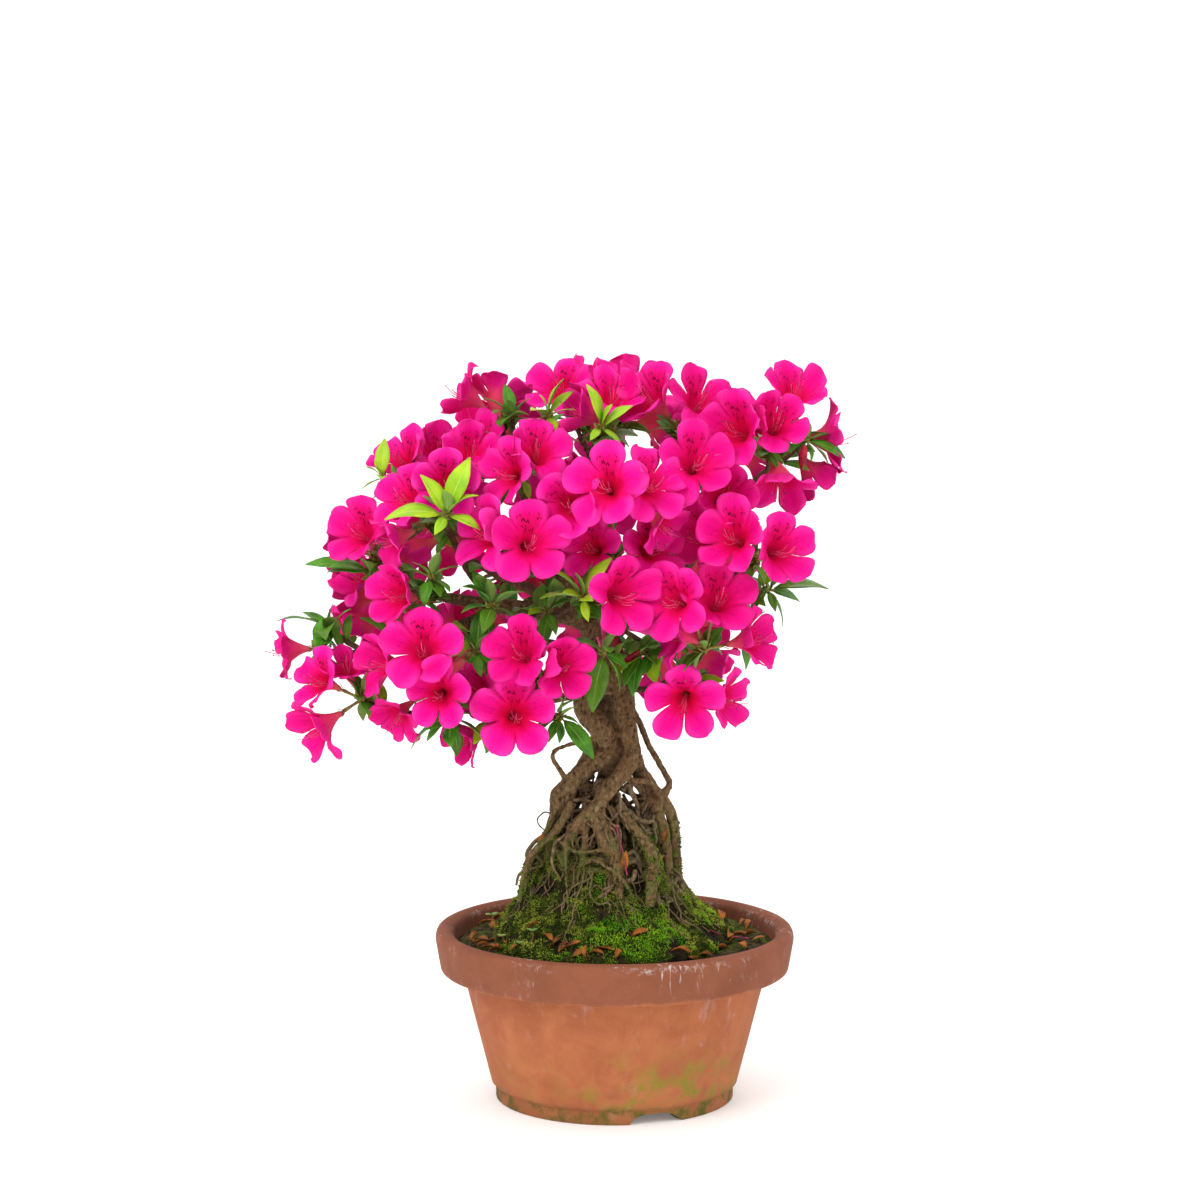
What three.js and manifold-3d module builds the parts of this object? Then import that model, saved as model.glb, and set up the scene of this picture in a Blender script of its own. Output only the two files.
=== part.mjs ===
// A satsuki azalea bonsai with exposed roots, in full bloom, in its terracotta training pot.
// Millimetres, +Z up. The front is -Y, the viewer's right is +X. Places are measured from the
// centre of the pot's underside; at the end the whole plant is moved so that the origin is the
// middle of its bounding box, at the level that the pot stands on.
import * as THREE from 'three';
import { mergeVertices } from 'three/addons/utils/BufferGeometryUtils.js';
import Module from 'manifold-3d';

const wasm = await Module();
wasm.setup();

// ---- driving dimensions -------------------------------------------------------------------

const seatGap = 0.3;            // between a piece and what it rests on or grows from
const clearance = 0.2;          // least distance between two pieces that only pass each other
const faultLimit = 1e-4;        // shared volume, cubic millimetres, that still counts as none
const smoothing = 0.1;          // how far a fused piece's faces may move when slivers are cleared
const probeDepth = 0.03;        // how deep behind a face a skin is tested for folds

const pot = {
  rimRadius: 105, rimTop: 101, rimUnderside: 76.5, rimOverhang: 12.2,
  bodyTopRadius: 89.3, bodyBaseRadius: 72, wall: 8,
  footRadius: 69.7, footInnerRadius: 60, footHeight: 8,
  floorUnderside: 7, floorTop: 15, drainRadius: 12.5,
  notchWidth: 29, notchHeight: 6, notchAngles: [19.6, 139.6, 259.6],
  sides: 28,
};

const soil = { top: 94, edgeTop: 91, flatRadius: 86 };

const mound = {
  centre: [-8, 2], sides: 22,
  // reach of the moss over the soil: front, right, back, left
  reach: [84, 77, 70, 62],
  // share of the way in from that reach to the root core, then height above the soil
  steps: [[0, 0], [0.02, 4], [0.28, 11], [0.62, 19], [0.84, 33], [1, 46]],
  coreRadius: 41.5, crownRadius: 29, crownHeight: 57, lump: 2.2,
};

const bloom = {
  mouth: 18,                // the mouth's height, from which the heights below count
  throat: 12.5,             // height of the bottom of the open throat
  valley: [8.4, 15],        // radius and height of the notch between two lobes
  side: [18.6, 20.8, 24.5], // radius, height and half angle of a lobe's widest place
  tip: [22.8, 23],          // radius and height of its end
  middle: [14, 19.4, 18],   // radius, front height and back height of its middle
  hinge: [7, 16],           // where a lobe bends forward or back
  lobes: 5,
};
const lobeBends = [0, 18, -18, 36, -36, 54, -54];   // degrees, tried in this order where petals meet
const bloomSpins = [0, 24, -24, 12, -12];
const bloomPushes = [0, 3, -3, 6];

const leaf = { widthShare: 0.38, widest: 0.5, arch: 0.07, thick: 1.4, roll: 60, faces: 3 };
const leafTurns = [[0, 0], [22, 0], [-22, 0], [0, 22], [0, -22], [22, 22], [-22, -22], [40, 0], [-40, 0]];

const hub = { truss: 2.9, shoot: 2.2 };     // radius of a bud cup, and of a shoot's leafy node
const facingLimit = 0.15;                   // least cosine between a hub's face and what grows from it
const twig = { startRadius: 1.9, endRadius: 1.15, sides: 3, keepOff: 5, straightEnd: 8 };

// ---- roots, trunk and branches: the routes that they follow, thickest radius to thinnest ----

const roots = [
  { name: 'left fold', radii: [6.5, 5.2, 6.4, 7.6, 6.2, 4.2], route: [[-6, -2, 256], [-17, -7, 243],
    [-17, -11, 230],
    [-6, -12, 218], [-1, -2, 205], [-2, 10, 190]] },
  { name: 'front strand', radii: [7.4, 7, 6.6, 5.4, 5.2, 5, 4.8, 4.2, 3.6, 3, 2.6], route: [[-3, -1, 256],
    [4, -6, 243],
    [5, -10, 230], [8, -15, 217], [10, -17, 206], [5, -20, 196], [-4, -25, 186], [-10, -28, 177],
    [-22, -29, 166], [-28, -28, 150], [-30, -30, 137]] },
  { name: 'big left', radii: [6.5, 6.4, 5.6, 5, 4.6, 4, 3, 2.6], route: [[7, -4, 215], [-1, -9, 205],
    [-14, -14, 199],
    [-24, -18, 190], [-29, -18, 180], [-31, -18, 169], [-36, -20, 156], [-40, -22, 140]] },
  { name: 'inner bow', radii: [3.8, 3.4, 3.2, 3, 2.8], route: [[-26, -16, 189], [-15, -10, 184],
    [-5, -4, 179], [4, 2, 170], [14, 8, 150]] },
  { name: 'right bow', radii: [2.4, 2, 1.8, 1.8, 2, 1.8, 1.6], route: [[5, -1, 236], [14, 0, 222],
    [20, -2, 208],
    [27, -4, 196], [32, -6, 185], [24, -8, 179], [12, -12, 172]] },
  { name: 'right stem', radii: [3.4, 2.8, 2.8, 3.2, 3.4, 3, 3], route: [[9, -6, 202], [17, -8, 193],
    [23, -8, 184],
    [30, -8, 175], [34, -8, 163], [35, -8, 150], [37, -7, 132]] },
  { name: 'left loop', radii: [1.5, 1.4, 1.4, 1.6], route: [[-6, -12, 214], [-22, -16, 212],
    [-36, -18, 206], [-29, -18, 192]] },
  { name: 'left outer', radii: [2.6, 2.2, 2, 2, 1.8, 1.6], route: [[-28, -18, 189], [-35, -15, 182],
    [-36, -13, 168],
    [-39, -15, 155], [-48, -15, 143], [-52, -12, 128]] },
  { name: 'front green', radii: [3, 2.8, 2.6, 2.4], route: [[-10, -26, 178], [-5, -31, 165],
    [1, -34, 152], [3, -36, 136]] },
  { name: 'front right', radii: [2.8, 2.6, 2.6, 2.8, 3.2], route: [[-2, -10, 178], [5, -24, 169],
    [15, -31, 160], [23, -31, 150], [27, -30, 126]] },
  { name: 'right green', radii: [3, 2.8, 2.6], route: [[20, -8, 180], [28, -16, 163], [32, -20, 128]] },
  { name: 'middle drop', radii: [2.2, 1.9, 1.9], route: [[14, -8, 203], [17, 0, 184], [10, 9, 150]] },
  { name: 'front left', radii: [2.4, 2.2, 2], route: [[-18, -28, 171], [-17, -33, 155], [-21, -37, 136]] },
  { name: 'left thin', radii: [1.6, 1.4, 1.3, 1.2], route: [[-31, -20, 168], [-34, -28, 154],
    [-28, -36, 140], [-24, -42, 124]] },
  { name: 'cross thin', radii: [1.5, 1.4, 1.4], route: [[-28, -35, 142], [-6, -39, 141], [8, -40, 128]] },
  { name: 'back left', radii: [5, 4.2, 3.4, 2.8], route: [[-8, 4, 214], [-20, 12, 190], [-30, 18, 165],
    [-36, 22, 138]] },
  { name: 'back right', radii: [4.6, 4, 3.2, 2.6], route: [[4, 2, 214], [14, 12, 190], [22, 20, 165],
    [29, 26, 128]] },
  { name: 'back middle', radii: [4, 3.4, 3, 2.6], route: [[-3, 8, 200], [-8, 20, 178], [-4, 28, 158],
    [-8, 36, 134]] },
  { name: 'back cross', radii: [2.4, 2, 2], route: [[-22, 15, 186], [-2, 24, 172], [16, 24, 150]] },
];

// The roots that reach on through the moss into the soil, with the depth that each one ends at.
const anchors = [
  { from: [3, -34, 138], to: [4, -33, 62], radii: [2.6, 1.6] },
  { from: [37, -7, 134], to: [38, -4, 66], radii: [2.8, 1.6] },
  { from: [-40, -22, 142], to: [-40, -20, 64], radii: [2.6, 1.5] },
  { from: [-8, 35, 136], to: [-8, 34, 60], radii: [2.6, 1.6] },
];

const branches = [
  { name: 'trunk', radii: [10.5, 10, 9.5, 8.8], route: [[-2, -4, 238], [-3, -2, 249], [-7, 0, 264],
    [-13, 0, 281]] },
  { name: 'left', radii: [7.4, 6.4, 5.2, 4.2, 3.2, 2.2], route: [[-13, 0, 280], [-30, -8, 287],
    [-48, -14, 289], [-66, -22, 292],
    [-86, -28, 296], [-108, -30, 300]] },
  { name: 'far left', radii: [2.6, 2.2, 2, 1.7], route: [[-66, -22, 291], [-92, -25, 281],
    [-120, -24, 270], [-144, -22, 266]] },
  { name: 'left rising', radii: [3.2, 2.4, 1.9], route: [[-66, -22, 292], [-82, -30, 312],
    [-96, -26, 338]] },
  { name: 'low left', radii: [3, 2.4, 2.1, 1.9, 1.6], route: [[-8, -4, 243], [-29, -18, 239],
    [-62, -32, 236], [-98, -38, 233], [-126, -40, 233]] },
  { name: 'left leader', radii: [6, 4.8, 3.8, 2.8, 2], route: [[-13, 0, 281], [-28, 0, 301],
    [-39, -4, 325], [-50, -8, 350], [-58, -10, 376]] },
  { name: 'leader', radii: [6.6, 5.2, 4, 3, 2], route: [[-13, 0, 281], [-10, 2, 306], [-6, -2, 334],
    [-10, -6, 360], [-15, -8, 380]] },
  { name: 'right', radii: [5.6, 4.6, 3.8, 2.8, 2.2, 1.8], route: [[-8, 0, 264], [12, 2, 288],
    [31, -4, 311], [50, -10, 333], [70, -14, 354], [88, -12, 370]] },
  { name: 'right side', radii: [2.4, 2, 1.7], route: [[30, -4, 310], [48, -16, 308], [62, -26, 306]] },
  { name: 'right low', radii: [2.1, 1.8, 1.6], route: [[2, -6, 244], [18, -16, 243], [38, -26, 253]] },
  { name: 'right thin', radii: [1.9, 1.6], route: [[-3, -4, 262], [26, -26, 268]] },
  { name: 'back left', radii: [4.2, 3.2, 2.4, 1.8], route: [[-26, -4, 286], [-48, 20, 296],
    [-74, 38, 306], [-92, 42, 316]] },
  { name: 'back', radii: [4.4, 3.4, 2.6, 2], route: [[-11, 0, 292], [-12, 24, 304], [-18, 44, 320],
    [-22, 52, 340]] },
  { name: 'back right', radii: [3.8, 3, 2.2, 1.8], route: [[4, 2, 280], [22, 24, 290], [42, 40, 306],
    [56, 42, 326]] },
  { name: 'back low', radii: [3, 2.4, 1.9], route: [[-8, 2, 262], [-24, 28, 262], [-48, 42, 264]] },
];

// ---- flowers: trusses by place, each with its bud cup and its blooms ------------------------
// A bloom is [x, y, z of its mouth, azimuth, elevation, size]. Azimuth 0 faces the front and
// grows to the right; size 1 is a bloom 45 mm across.

const frontTrusses = [
  { place: 'low_mid', hub: [-41, -62, 255], blooms: [[-53, -84, 274, -20, 22, 0.92],
    [-30, -86, 266, 18, 8, 0.85]] },
  { place: 'low_front', hub: [-65, -48, 229], blooms: [[-56, -80, 238, 0, 10, 1.02],
    [-78, -50, 247, -45, 20, 0.75], [-84, -45, 219, -60, -15, 0.75]] },
  { place: 'heart_low', hub: [-11, -75, 301], blooms: [[4, -94, 307, 35, 5, 1.0]] },
  { place: 'heart_left', hub: [-57, -72, 333], blooms: [[-47, -100, 337, 8, 20, 1.0],
    [-71, -88, 341, -45, 20, 0.95]] },
  { place: 'mid_right', hub: [-6, -65, 356], blooms: [[-5, -100, 368, -20, 15, 1.0],
    [-25, -92, 357, -10, 10, 0.9], [19, -92, 368, 30, 18, 0.95],
    [27, -75, 344, 55, -35, 0.75]] },
  { place: 'right_mid', hub: [77, -50, 321], blooms: [[65, -80, 338, -25, 18, 0.98],
    [92, -76, 330, 30, 10, 0.92]] },
  { place: 'right_low', hub: [51, -55, 272], blooms: [[57, -78, 303, 10, 30, 0.95],
    [35, -85, 303, -30, 5, 0.95], [34, -62, 281, -72, 5, 0.82],
    [77, -60, 278, 60, 15, 0.85]] },
  { place: 'right_hang', hub: [44, -20, 244], blooms: [[39, -52, 241, -5, -15, 0.95],
    [65, -12, 237, 60, -10, 0.8]] },
  { place: 'low_left_front', hub: [-96, -58, 249], blooms: [[-107, -84, 276, -5, 22, 1.0],
    [-98, -88, 251, -12, 2, 0.85], [-132, -62, 264, -65, 0, 0.85],
    [-121, -45, 236, -35, -40, 0.75]] },
  { place: 'left_inner', hub: [-106, -50, 299], blooms: [[-122, -68, 304, -40, 10, 0.88]] },
  { place: 'low_left', hub: [-144, -40, 241], blooms: [[-168, -55, 227, -55, -25, 0.9],
    [-168, -48, 253, -50, 20, 0.8], [-152, -40, 259, -10, 55, 0.65]] },
  { place: 'far_left', hub: [-169, -25, 268], blooms: [[-188, -25, 267, -80, -5, 0.75]] },
  { place: 'left_mid', hub: [-134, -28, 319], blooms: [[-144, -45, 337, -35, 25, 0.9],
    [-152, 0, 325, -130, 15, 0.85]] },
  { place: 'left_shoulder', hub: [-105, -50, 342], blooms: [[-117, -62, 358, -40, 30, 0.85],
    [-125, -62, 335, -60, -12, 0.8]] },
  { place: 'left_front', hub: [-92, -55, 352], blooms: [[-94, -80, 367, -5, 15, 0.88],
    [-81, -45, 381, 10, 40, 0.85]] },
  { place: 'left_top', hub: [-110, -2, 362], blooms: [[-122, -12, 376, -45, 45, 0.9],
    [-100, -5, 380, 15, 55, 0.85], [-109, 22, 371, 165, 40, 0.85]] },
  { place: 'mid_left', hub: [-60, -48, 368], blooms: [[-59, -78, 373, -45, 15, 0.85],
    [-44, -68, 384, 0, 35, 0.88], [-78, -28, 387, -35, 45, 0.85]] },
  { place: 'right_in', hub: [55, -38, 352], blooms: [[45, -76, 379, 20, 22, 0.98],
    [60, -58, 358, 10, 25, 0.85], [48, -50, 336, -40, -5, 0.85]] },
  { place: 'far_right_front', hub: [86, -38, 382], blooms: [[67, -60, 396, -30, 20, 0.98],
    [90, -58, 401, 10, 30, 0.88], [92, -50, 365, 0, -55, 0.95]] },
  { place: 'crest_right', hub: [36, -32, 393], blooms: [[20, -42, 413, -45, 35, 0.92],
    [48, -38, 411, 30, 40, 0.92]] },
  { place: 'crest_front', hub: [-5, -38, 393], blooms: [[-1, -38, 414, 25, 55, 0.88],
    [-19, -50, 405, -75, 25, 0.88]] },
  { place: 'far_right', hub: [103, -5, 392], blooms: [[124, -3, 387, 85, 5, 0.92],
    [103, -6, 414, 20, 55, 0.9], [114, -8, 367, 100, -45, 0.8]] },
  { place: 'crest_mid', hub: [-23, 0, 394], blooms: [[-31, -8, 416, -25, 40, 0.9],
    [-14, 8, 420, 40, 65, 0.88]] },
  { place: 'crest_left', hub: [-65, -12, 395], blooms: [[-86, -12, 412, -85, 25, 0.78],
    [-66, -2, 411, 160, 45, 0.85]] },
  { place: 'heart', hub: [-2, -42, 321], blooms: [[-13, -70, 331, -20, 15, 0.8],
    [21, -66, 330, 35, 15, 0.88]] },
];

// Trusses at the back: their blooms fan out round the way that the truss faces.
const backTrusses = [
  { place: 'back_far_left', hub: [-128, 18, 290], face: [-125, 10] },
  { place: 'back_low_left', hub: [-82, 48, 258], face: [-155, 5] },
  { place: 'back_left', hub: [-96, 44, 328], face: [-145, 20] },
  { place: 'back_left_top', hub: [-62, 34, 372], face: [-155, 45] },
  { place: 'back_low', hub: [-38, 58, 284], face: [180, 5] },
  { place: 'back_mid', hub: [-24, 58, 338], face: [180, 20] },
  { place: 'back_top', hub: [4, 26, 392], face: [170, 50] },
  { place: 'back_right', hub: [48, 54, 318], face: [155, 15] },
  { place: 'back_right_top', hub: [58, 30, 376], face: [150, 40] },
  { place: 'back_low_right', hub: [34, 40, 262], face: [150, 0] },
];
const backFan = { around: 4, tilt: 60, firstTurn: 38, reach: 26, sizes: [1.0, 0.92, 0.96, 0.9, 0.94] };

// ---- leaves: shoots by place, with the tips of their leaves ----------------------------------

const shoots = [
  { place: 'left_front', hub: [-93, -92, 351], face: [0, 80], age: 'young', tips: [[-107, -96, 374],
    [-80, -90, 383], [-126, -104, 352],
    [-74, -98, 345], [-99, -104, 342], [-76, -100, 364]] },
  { place: 'far_left', hub: [-164, -11.5, 278], face: [-40, 60], age: 'old', tips: [[-162, -15, 293],
    [-194, -14, 284], [-151, -25, 291],
    [-153, -40, 277], [-169, -38, 268], [-180, -8, 287]] },
  { place: 'left_mid', hub: [-140, -20, 311], face: [-50, 20], age: 'old', tips: [[-177, -20, 316],
    [-163, -32, 307], [-163, -15, 322],
    [-131, -38, 299]] },
  { place: 'left_crest', hub: [-132, -25, 366], face: [-40, 50], age: 'young', tips: [[-142, -25, 373],
    [-144, -30, 360], [-128, -40, 356], [-136, -12, 378]] },
  { place: 'crest_left', hub: [-58, -25, 401], face: [10, 60], age: 'old', tips: [[-48, -28, 412],
    [-75, -26, 412], [-61, -34, 412], [-49, -38, 403], [-69, -42, 405]] },
  { place: 'crest_mid', hub: [-38, -45, 402], face: [0, 60], age: 'young', tips: [[-29, -50, 424],
    [-42, -48, 415], [-48, -55, 399], [-22, -52, 407], [-33, -58, 395]] },
  { place: 'crest_front', hub: [-8, -63.5, 397.5], face: [0, 50], age: 'young', tips: [[-23, -72, 417],
    [-2, -68, 411], [-14, -72, 391], [4, -66, 387]] },
  { place: 'heart', hub: [-18, -82, 304], face: [0, 50], age: 'young', tips: [[-22, -88, 319],
    [-29, -94, 309], [-2, -84, 327], [-42, -88, 305], [-15, -90, 292]] },
  { place: 'heart_low', hub: [-6, -62, 271], face: [-10, -40], age: 'old', tips: [[-13, -74, 239],
    [-26, -70, 279], [2, -72, 286], [7, -66, 263]] },
  { place: 'low_mid', hub: [-31, -52, 233], face: [20, -30], age: 'old', tips: [[-12, -60, 210],
    [-21, -62, 240], [-38, -56, 219], [-18, -40, 224]] },
  { place: 'low_left', hub: [-93, -60, 234], face: [-20, -40], age: 'old', tips: [[-106, -66, 221],
    [-111, -62, 234], [-75, -72, 236], [-89, -58, 211], [-116, -52, 215]] },
  { place: 'left_inner', hub: [-78, -62, 271], face: [10, 20], age: 'old', tips: [[-90, -70, 268],
    [-67, -74, 271], [-71, -72, 283], [-86, -70, 282], [-75, -72, 259]] },
  { place: 'inner_left', hub: [-69, -62, 297], face: [0, 30], age: 'old', tips: [[-71, -70, 314],
    [-84, -74, 311], [-51, -72, 307], [-53, -74, 289], [-86, -72, 295]] },
  { place: 'inner_mid', hub: [-38, -55, 293], face: [20, 20], age: 'old', tips: [[-31, -64, 307],
    [-49, -64, 297], [-33, -68, 282], [-20, -60, 294], [-42, -60, 311]] },
  { place: 'inner_shoulder', hub: [-103, -62, 313], face: [-10, 20], age: 'old', tips: [[-98, -72, 329],
    [-113, -68, 323], [-87, -72, 321], [-107, -74, 299], [-92, -76, 307]] },
  { place: 'right_mid', hub: [87, -35, 303], face: [40, -10], age: 'old', tips: [[121, -40, 305],
    [91, -44, 292], [77, -46, 292], [106, -28, 296], [103, -22, 312]] },
  { place: 'right_low', hub: [72, -32, 281], face: [50, -10], age: 'old', tips: [[90, -40, 280],
    [92, -28, 272], [75, -40, 293], [86, -22, 289]] },
  { place: 'low_right', hub: [15, -42, 268], face: [20, -20], age: 'old', tips: [[37, -52, 264],
    [10, -48, 244], [21, -54, 281], [27, -40, 252], [2, -36, 262]] },
  { place: 'far_right', hub: [109, -20, 387], face: [30, -10], age: 'old', tips: [[109, -28, 399],
    [112, -24, 375], [122, -16, 374], [99, -26, 381]] },
  { place: 'back_left', hub: [-62, 52, 300], face: [-170, 20], age: 'old', tips: [] },
  { place: 'back_right', hub: [20, 54, 300], face: [165, 20], age: 'old', tips: [] },
];
// Leaves that are added round each shoot by the golden angle, besides its listed ones.
const whorl = { front: 2, back: 8, opening: [48, 74], length: [20, 26], goldenAngle: 137.508 };

// ---- small tools -------------------------------------------------------------------------------

const radians = THREE.MathUtils.degToRad;
const vector = (p) => new THREE.Vector3(...p);
const along = (from, direction, length) => from.clone().addScaledVector(direction, length);

// The unit vector that faces an azimuth (0 front, 90 right) and an elevation.
function facing(azimuth, elevation) {
  const a = radians(azimuth);
  const e = radians(elevation);
  return new THREE.Vector3(Math.sin(a) * Math.cos(e), -Math.cos(a) * Math.cos(e), Math.sin(e));
}

// A number from 0 to 1 that depends only on a count, for small natural differences.
function scatter(count) {
  const wave = Math.sin(count * 12.9898 + 4.1414) * 43758.5453;
  return wave - Math.floor(wave);
}

function geometryOf(points, triangles) {
  const geometry = new THREE.BufferGeometry();
  const values = points.flatMap((p) => [p.x, p.y, p.z]);
  geometry.setAttribute('position', new THREE.Float32BufferAttribute(values, 3));
  geometry.setIndex(triangles.flat());
  return geometry;
}

function signedVolume(positions, index) {
  const [a, b, c] = [new THREE.Vector3(), new THREE.Vector3(), new THREE.Vector3()];
  let sum = 0;
  for (let i = 0; i < index.length; i += 3) {
    a.fromArray(positions, index[i] * 3);
    b.fromArray(positions, index[i + 1] * 3);
    c.fromArray(positions, index[i + 2] * 3);
    sum += a.dot(b.cross(c)) / 6;
  }
  return sum;
}

// A three.js geometry as a solid that can be joined and cut, its faces pointing out.
function solidOf(geometry) {
  const bare = geometry.clone();
  bare.deleteAttribute('normal');
  bare.deleteAttribute('uv');
  const merged = mergeVertices(bare, 1e-4);
  const positions = merged.attributes.position.array;
  const index = Uint32Array.from(merged.index.array);
  if (signedVolume(positions, index) < 0) {
    for (let i = 0; i < index.length; i += 3) [index[i], index[i + 1]] = [index[i + 1], index[i]];
  }
  const mesh = new wasm.Mesh({ numProp: 3, vertProperties: Float32Array.from(positions), triVerts: index });
  return new wasm.Manifold(mesh);
}

const fused = (solids) => wasm.Manifold.union(solids);

function largestPiece(solid) {
  return solid.decompose().reduce((a, b) => (b.volume() > a.volume() ? b : a));
}

function meshOf(name, solid, material) {
  const { vertProperties, triVerts } = solid.getMesh();
  const geometry = new THREE.BufferGeometry();
  geometry.setAttribute('position', new THREE.BufferAttribute(Float32Array.from(vertProperties), 3));
  geometry.setIndex(new THREE.BufferAttribute(Uint32Array.from(triVerts), 1));
  geometry.computeVertexNormals();
  const mesh = new THREE.Mesh(geometry, material);
  mesh.name = name;
  return mesh;
}

// A closed limb along a smooth curve through the route, its radius changing evenly from each
// value of the list to the next.
function limb(route, radii, sides, segments, extra = 0) {
  const knots = route.map((p) => (p.isVector3 ? p : vector(p)));
  const curve = new THREE.CatmullRomCurve3(knots, false, 'centripetal');
  const frames = curve.computeFrenetFrames(segments, false);
  const points = [];
  for (let ring = 0; ring <= segments; ring += 1) {
    const share = ring / segments;
    const centre = curve.getPointAt(share);
    const place = share * (radii.length - 1);
    const step = Math.min(Math.floor(place), radii.length - 2);
    const radius = THREE.MathUtils.lerp(radii[step], radii[step + 1], place - step) + extra;
    for (let side = 0; side < sides; side += 1) {
      const turn = (side / sides) * 2 * Math.PI;
      points.push(centre.clone()
        .addScaledVector(frames.normals[ring], radius * Math.cos(turn))
        .addScaledVector(frames.binormals[ring], radius * Math.sin(turn)));
    }
  }
  const triangles = [];
  for (let ring = 0; ring < segments; ring += 1) {
    for (let side = 0; side < sides; side += 1) {
      const a = ring * sides + side;
      const b = ring * sides + ((side + 1) % sides);
      triangles.push([a, b, b + sides], [a, b + sides, a + sides]);
    }
  }
  const last = segments * sides;
  for (let side = 1; side < sides - 1; side += 1) {
    triangles.push([0, side + 1, side], [last, last + side, last + side + 1]);
  }
  return solidOf(geometryOf(points, triangles));
}

function turned(profile, sides) {
  const lathe = new THREE.LatheGeometry(profile.map(([r, z]) => new THREE.Vector2(r, z)), sides);
  return solidOf(lathe.rotateX(Math.PI / 2));
}

// ---- what is already in place: later pieces are bent clear of it -------------------------

const placed = [];

function place(solid, owner) {
  placed.push({ solid, box: solid.boundingBox(), owner });
}

function boxesMeet(a, b) {
  const meet = (i) => a.min[i] - clearance < b.max[i] && b.min[i] - clearance < a.max[i];
  return [0, 1, 2].every(meet);
}

// How far a solid is from lying clear: the volume that it shares with what is in place, plus
// a little for each piece that it comes too close to. Its owner's own hub doesn't count.
function crossing(solid, owner) {
  const box = solid.boundingBox();
  let sum = 0;
  for (const other of placed) {
    if (other.owner !== owner && boxesMeet(box, other.box)) {
      const shared = solid.intersect(other.solid).volume();
      if (shared > 1e-6) sum += shared + 1;
      else if (solid.minGap(other.solid, clearance) < clearance) sum += 1;
    }
  }
  return sum;
}

// ---- pot, soil and moss ---------------------------------------------------------------------------

function makePot() {
  const innerTop = pot.bodyTopRadius - pot.wall;
  const innerBase = pot.bodyBaseRadius - pot.wall + 2;
  const body = turned([
    [pot.drainRadius, pot.floorUnderside], [pot.footInnerRadius, pot.floorUnderside],
    [pot.footInnerRadius, 0],
    [pot.footRadius, 0], [pot.footRadius, pot.footHeight], [pot.bodyBaseRadius, pot.footHeight + 1.5],
    [pot.bodyTopRadius, pot.rimUnderside], [pot.bodyTopRadius + pot.rimOverhang, pot.rimUnderside],
    [pot.rimRadius, pot.rimTop - 5], [pot.rimRadius - 1.5, pot.rimTop - 1], [pot.rimRadius - 6, pot.rimTop],
    [pot.rimRadius - 10.5, pot.rimTop - 2.5], [pot.rimRadius - 12, pot.rimTop - 13],
    [innerTop, pot.rimUnderside - 6], [innerBase, pot.floorTop + 1], [pot.drainRadius, pot.floorTop],
    [pot.drainRadius, pot.floorUnderside],
  ], pot.sides);
  const arch = new THREE.Shape();
  arch.moveTo(-pot.notchWidth / 2, -1);
  arch.lineTo(pot.notchWidth / 2, -1);
  arch.lineTo(pot.notchWidth / 2, pot.notchHeight * 0.35);
  arch.lineTo(pot.notchWidth * 0.32, pot.notchHeight * 0.9);
  arch.lineTo(0, pot.notchHeight);
  arch.lineTo(-pot.notchWidth * 0.32, pot.notchHeight * 0.9);
  arch.lineTo(-pot.notchWidth / 2, pot.notchHeight * 0.35);
  arch.closePath();
  const notches = pot.notchAngles.map((angle) => {
    const cutter = new THREE.ExtrudeGeometry(arch, { depth: 20, bevelEnabled: false });
    cutter.rotateX(Math.PI / 2).translate(0, -pot.footInnerRadius + 5, 0).rotateZ(radians(angle));
    return solidOf(cutter);
  });
  return body.subtract(fused(notches));
}

function makeSoil() {
  const innerTop = pot.bodyTopRadius - pot.wall - seatGap - 0.2;
  const innerBase = pot.bodyBaseRadius - pot.wall + 2 - seatGap - 0.2;
  const floor = pot.floorTop + 1 + seatGap;
  return turned([
    [0, floor], [innerBase, floor], [innerTop, pot.rimUnderside - 6],
    [pot.rimRadius - 12.8, pot.rimTop - 12.4],
    [pot.rimRadius - 12.8, soil.edgeTop], [soil.flatRadius, soil.top], [0, soil.top],
  ], pot.sides);
}

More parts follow.
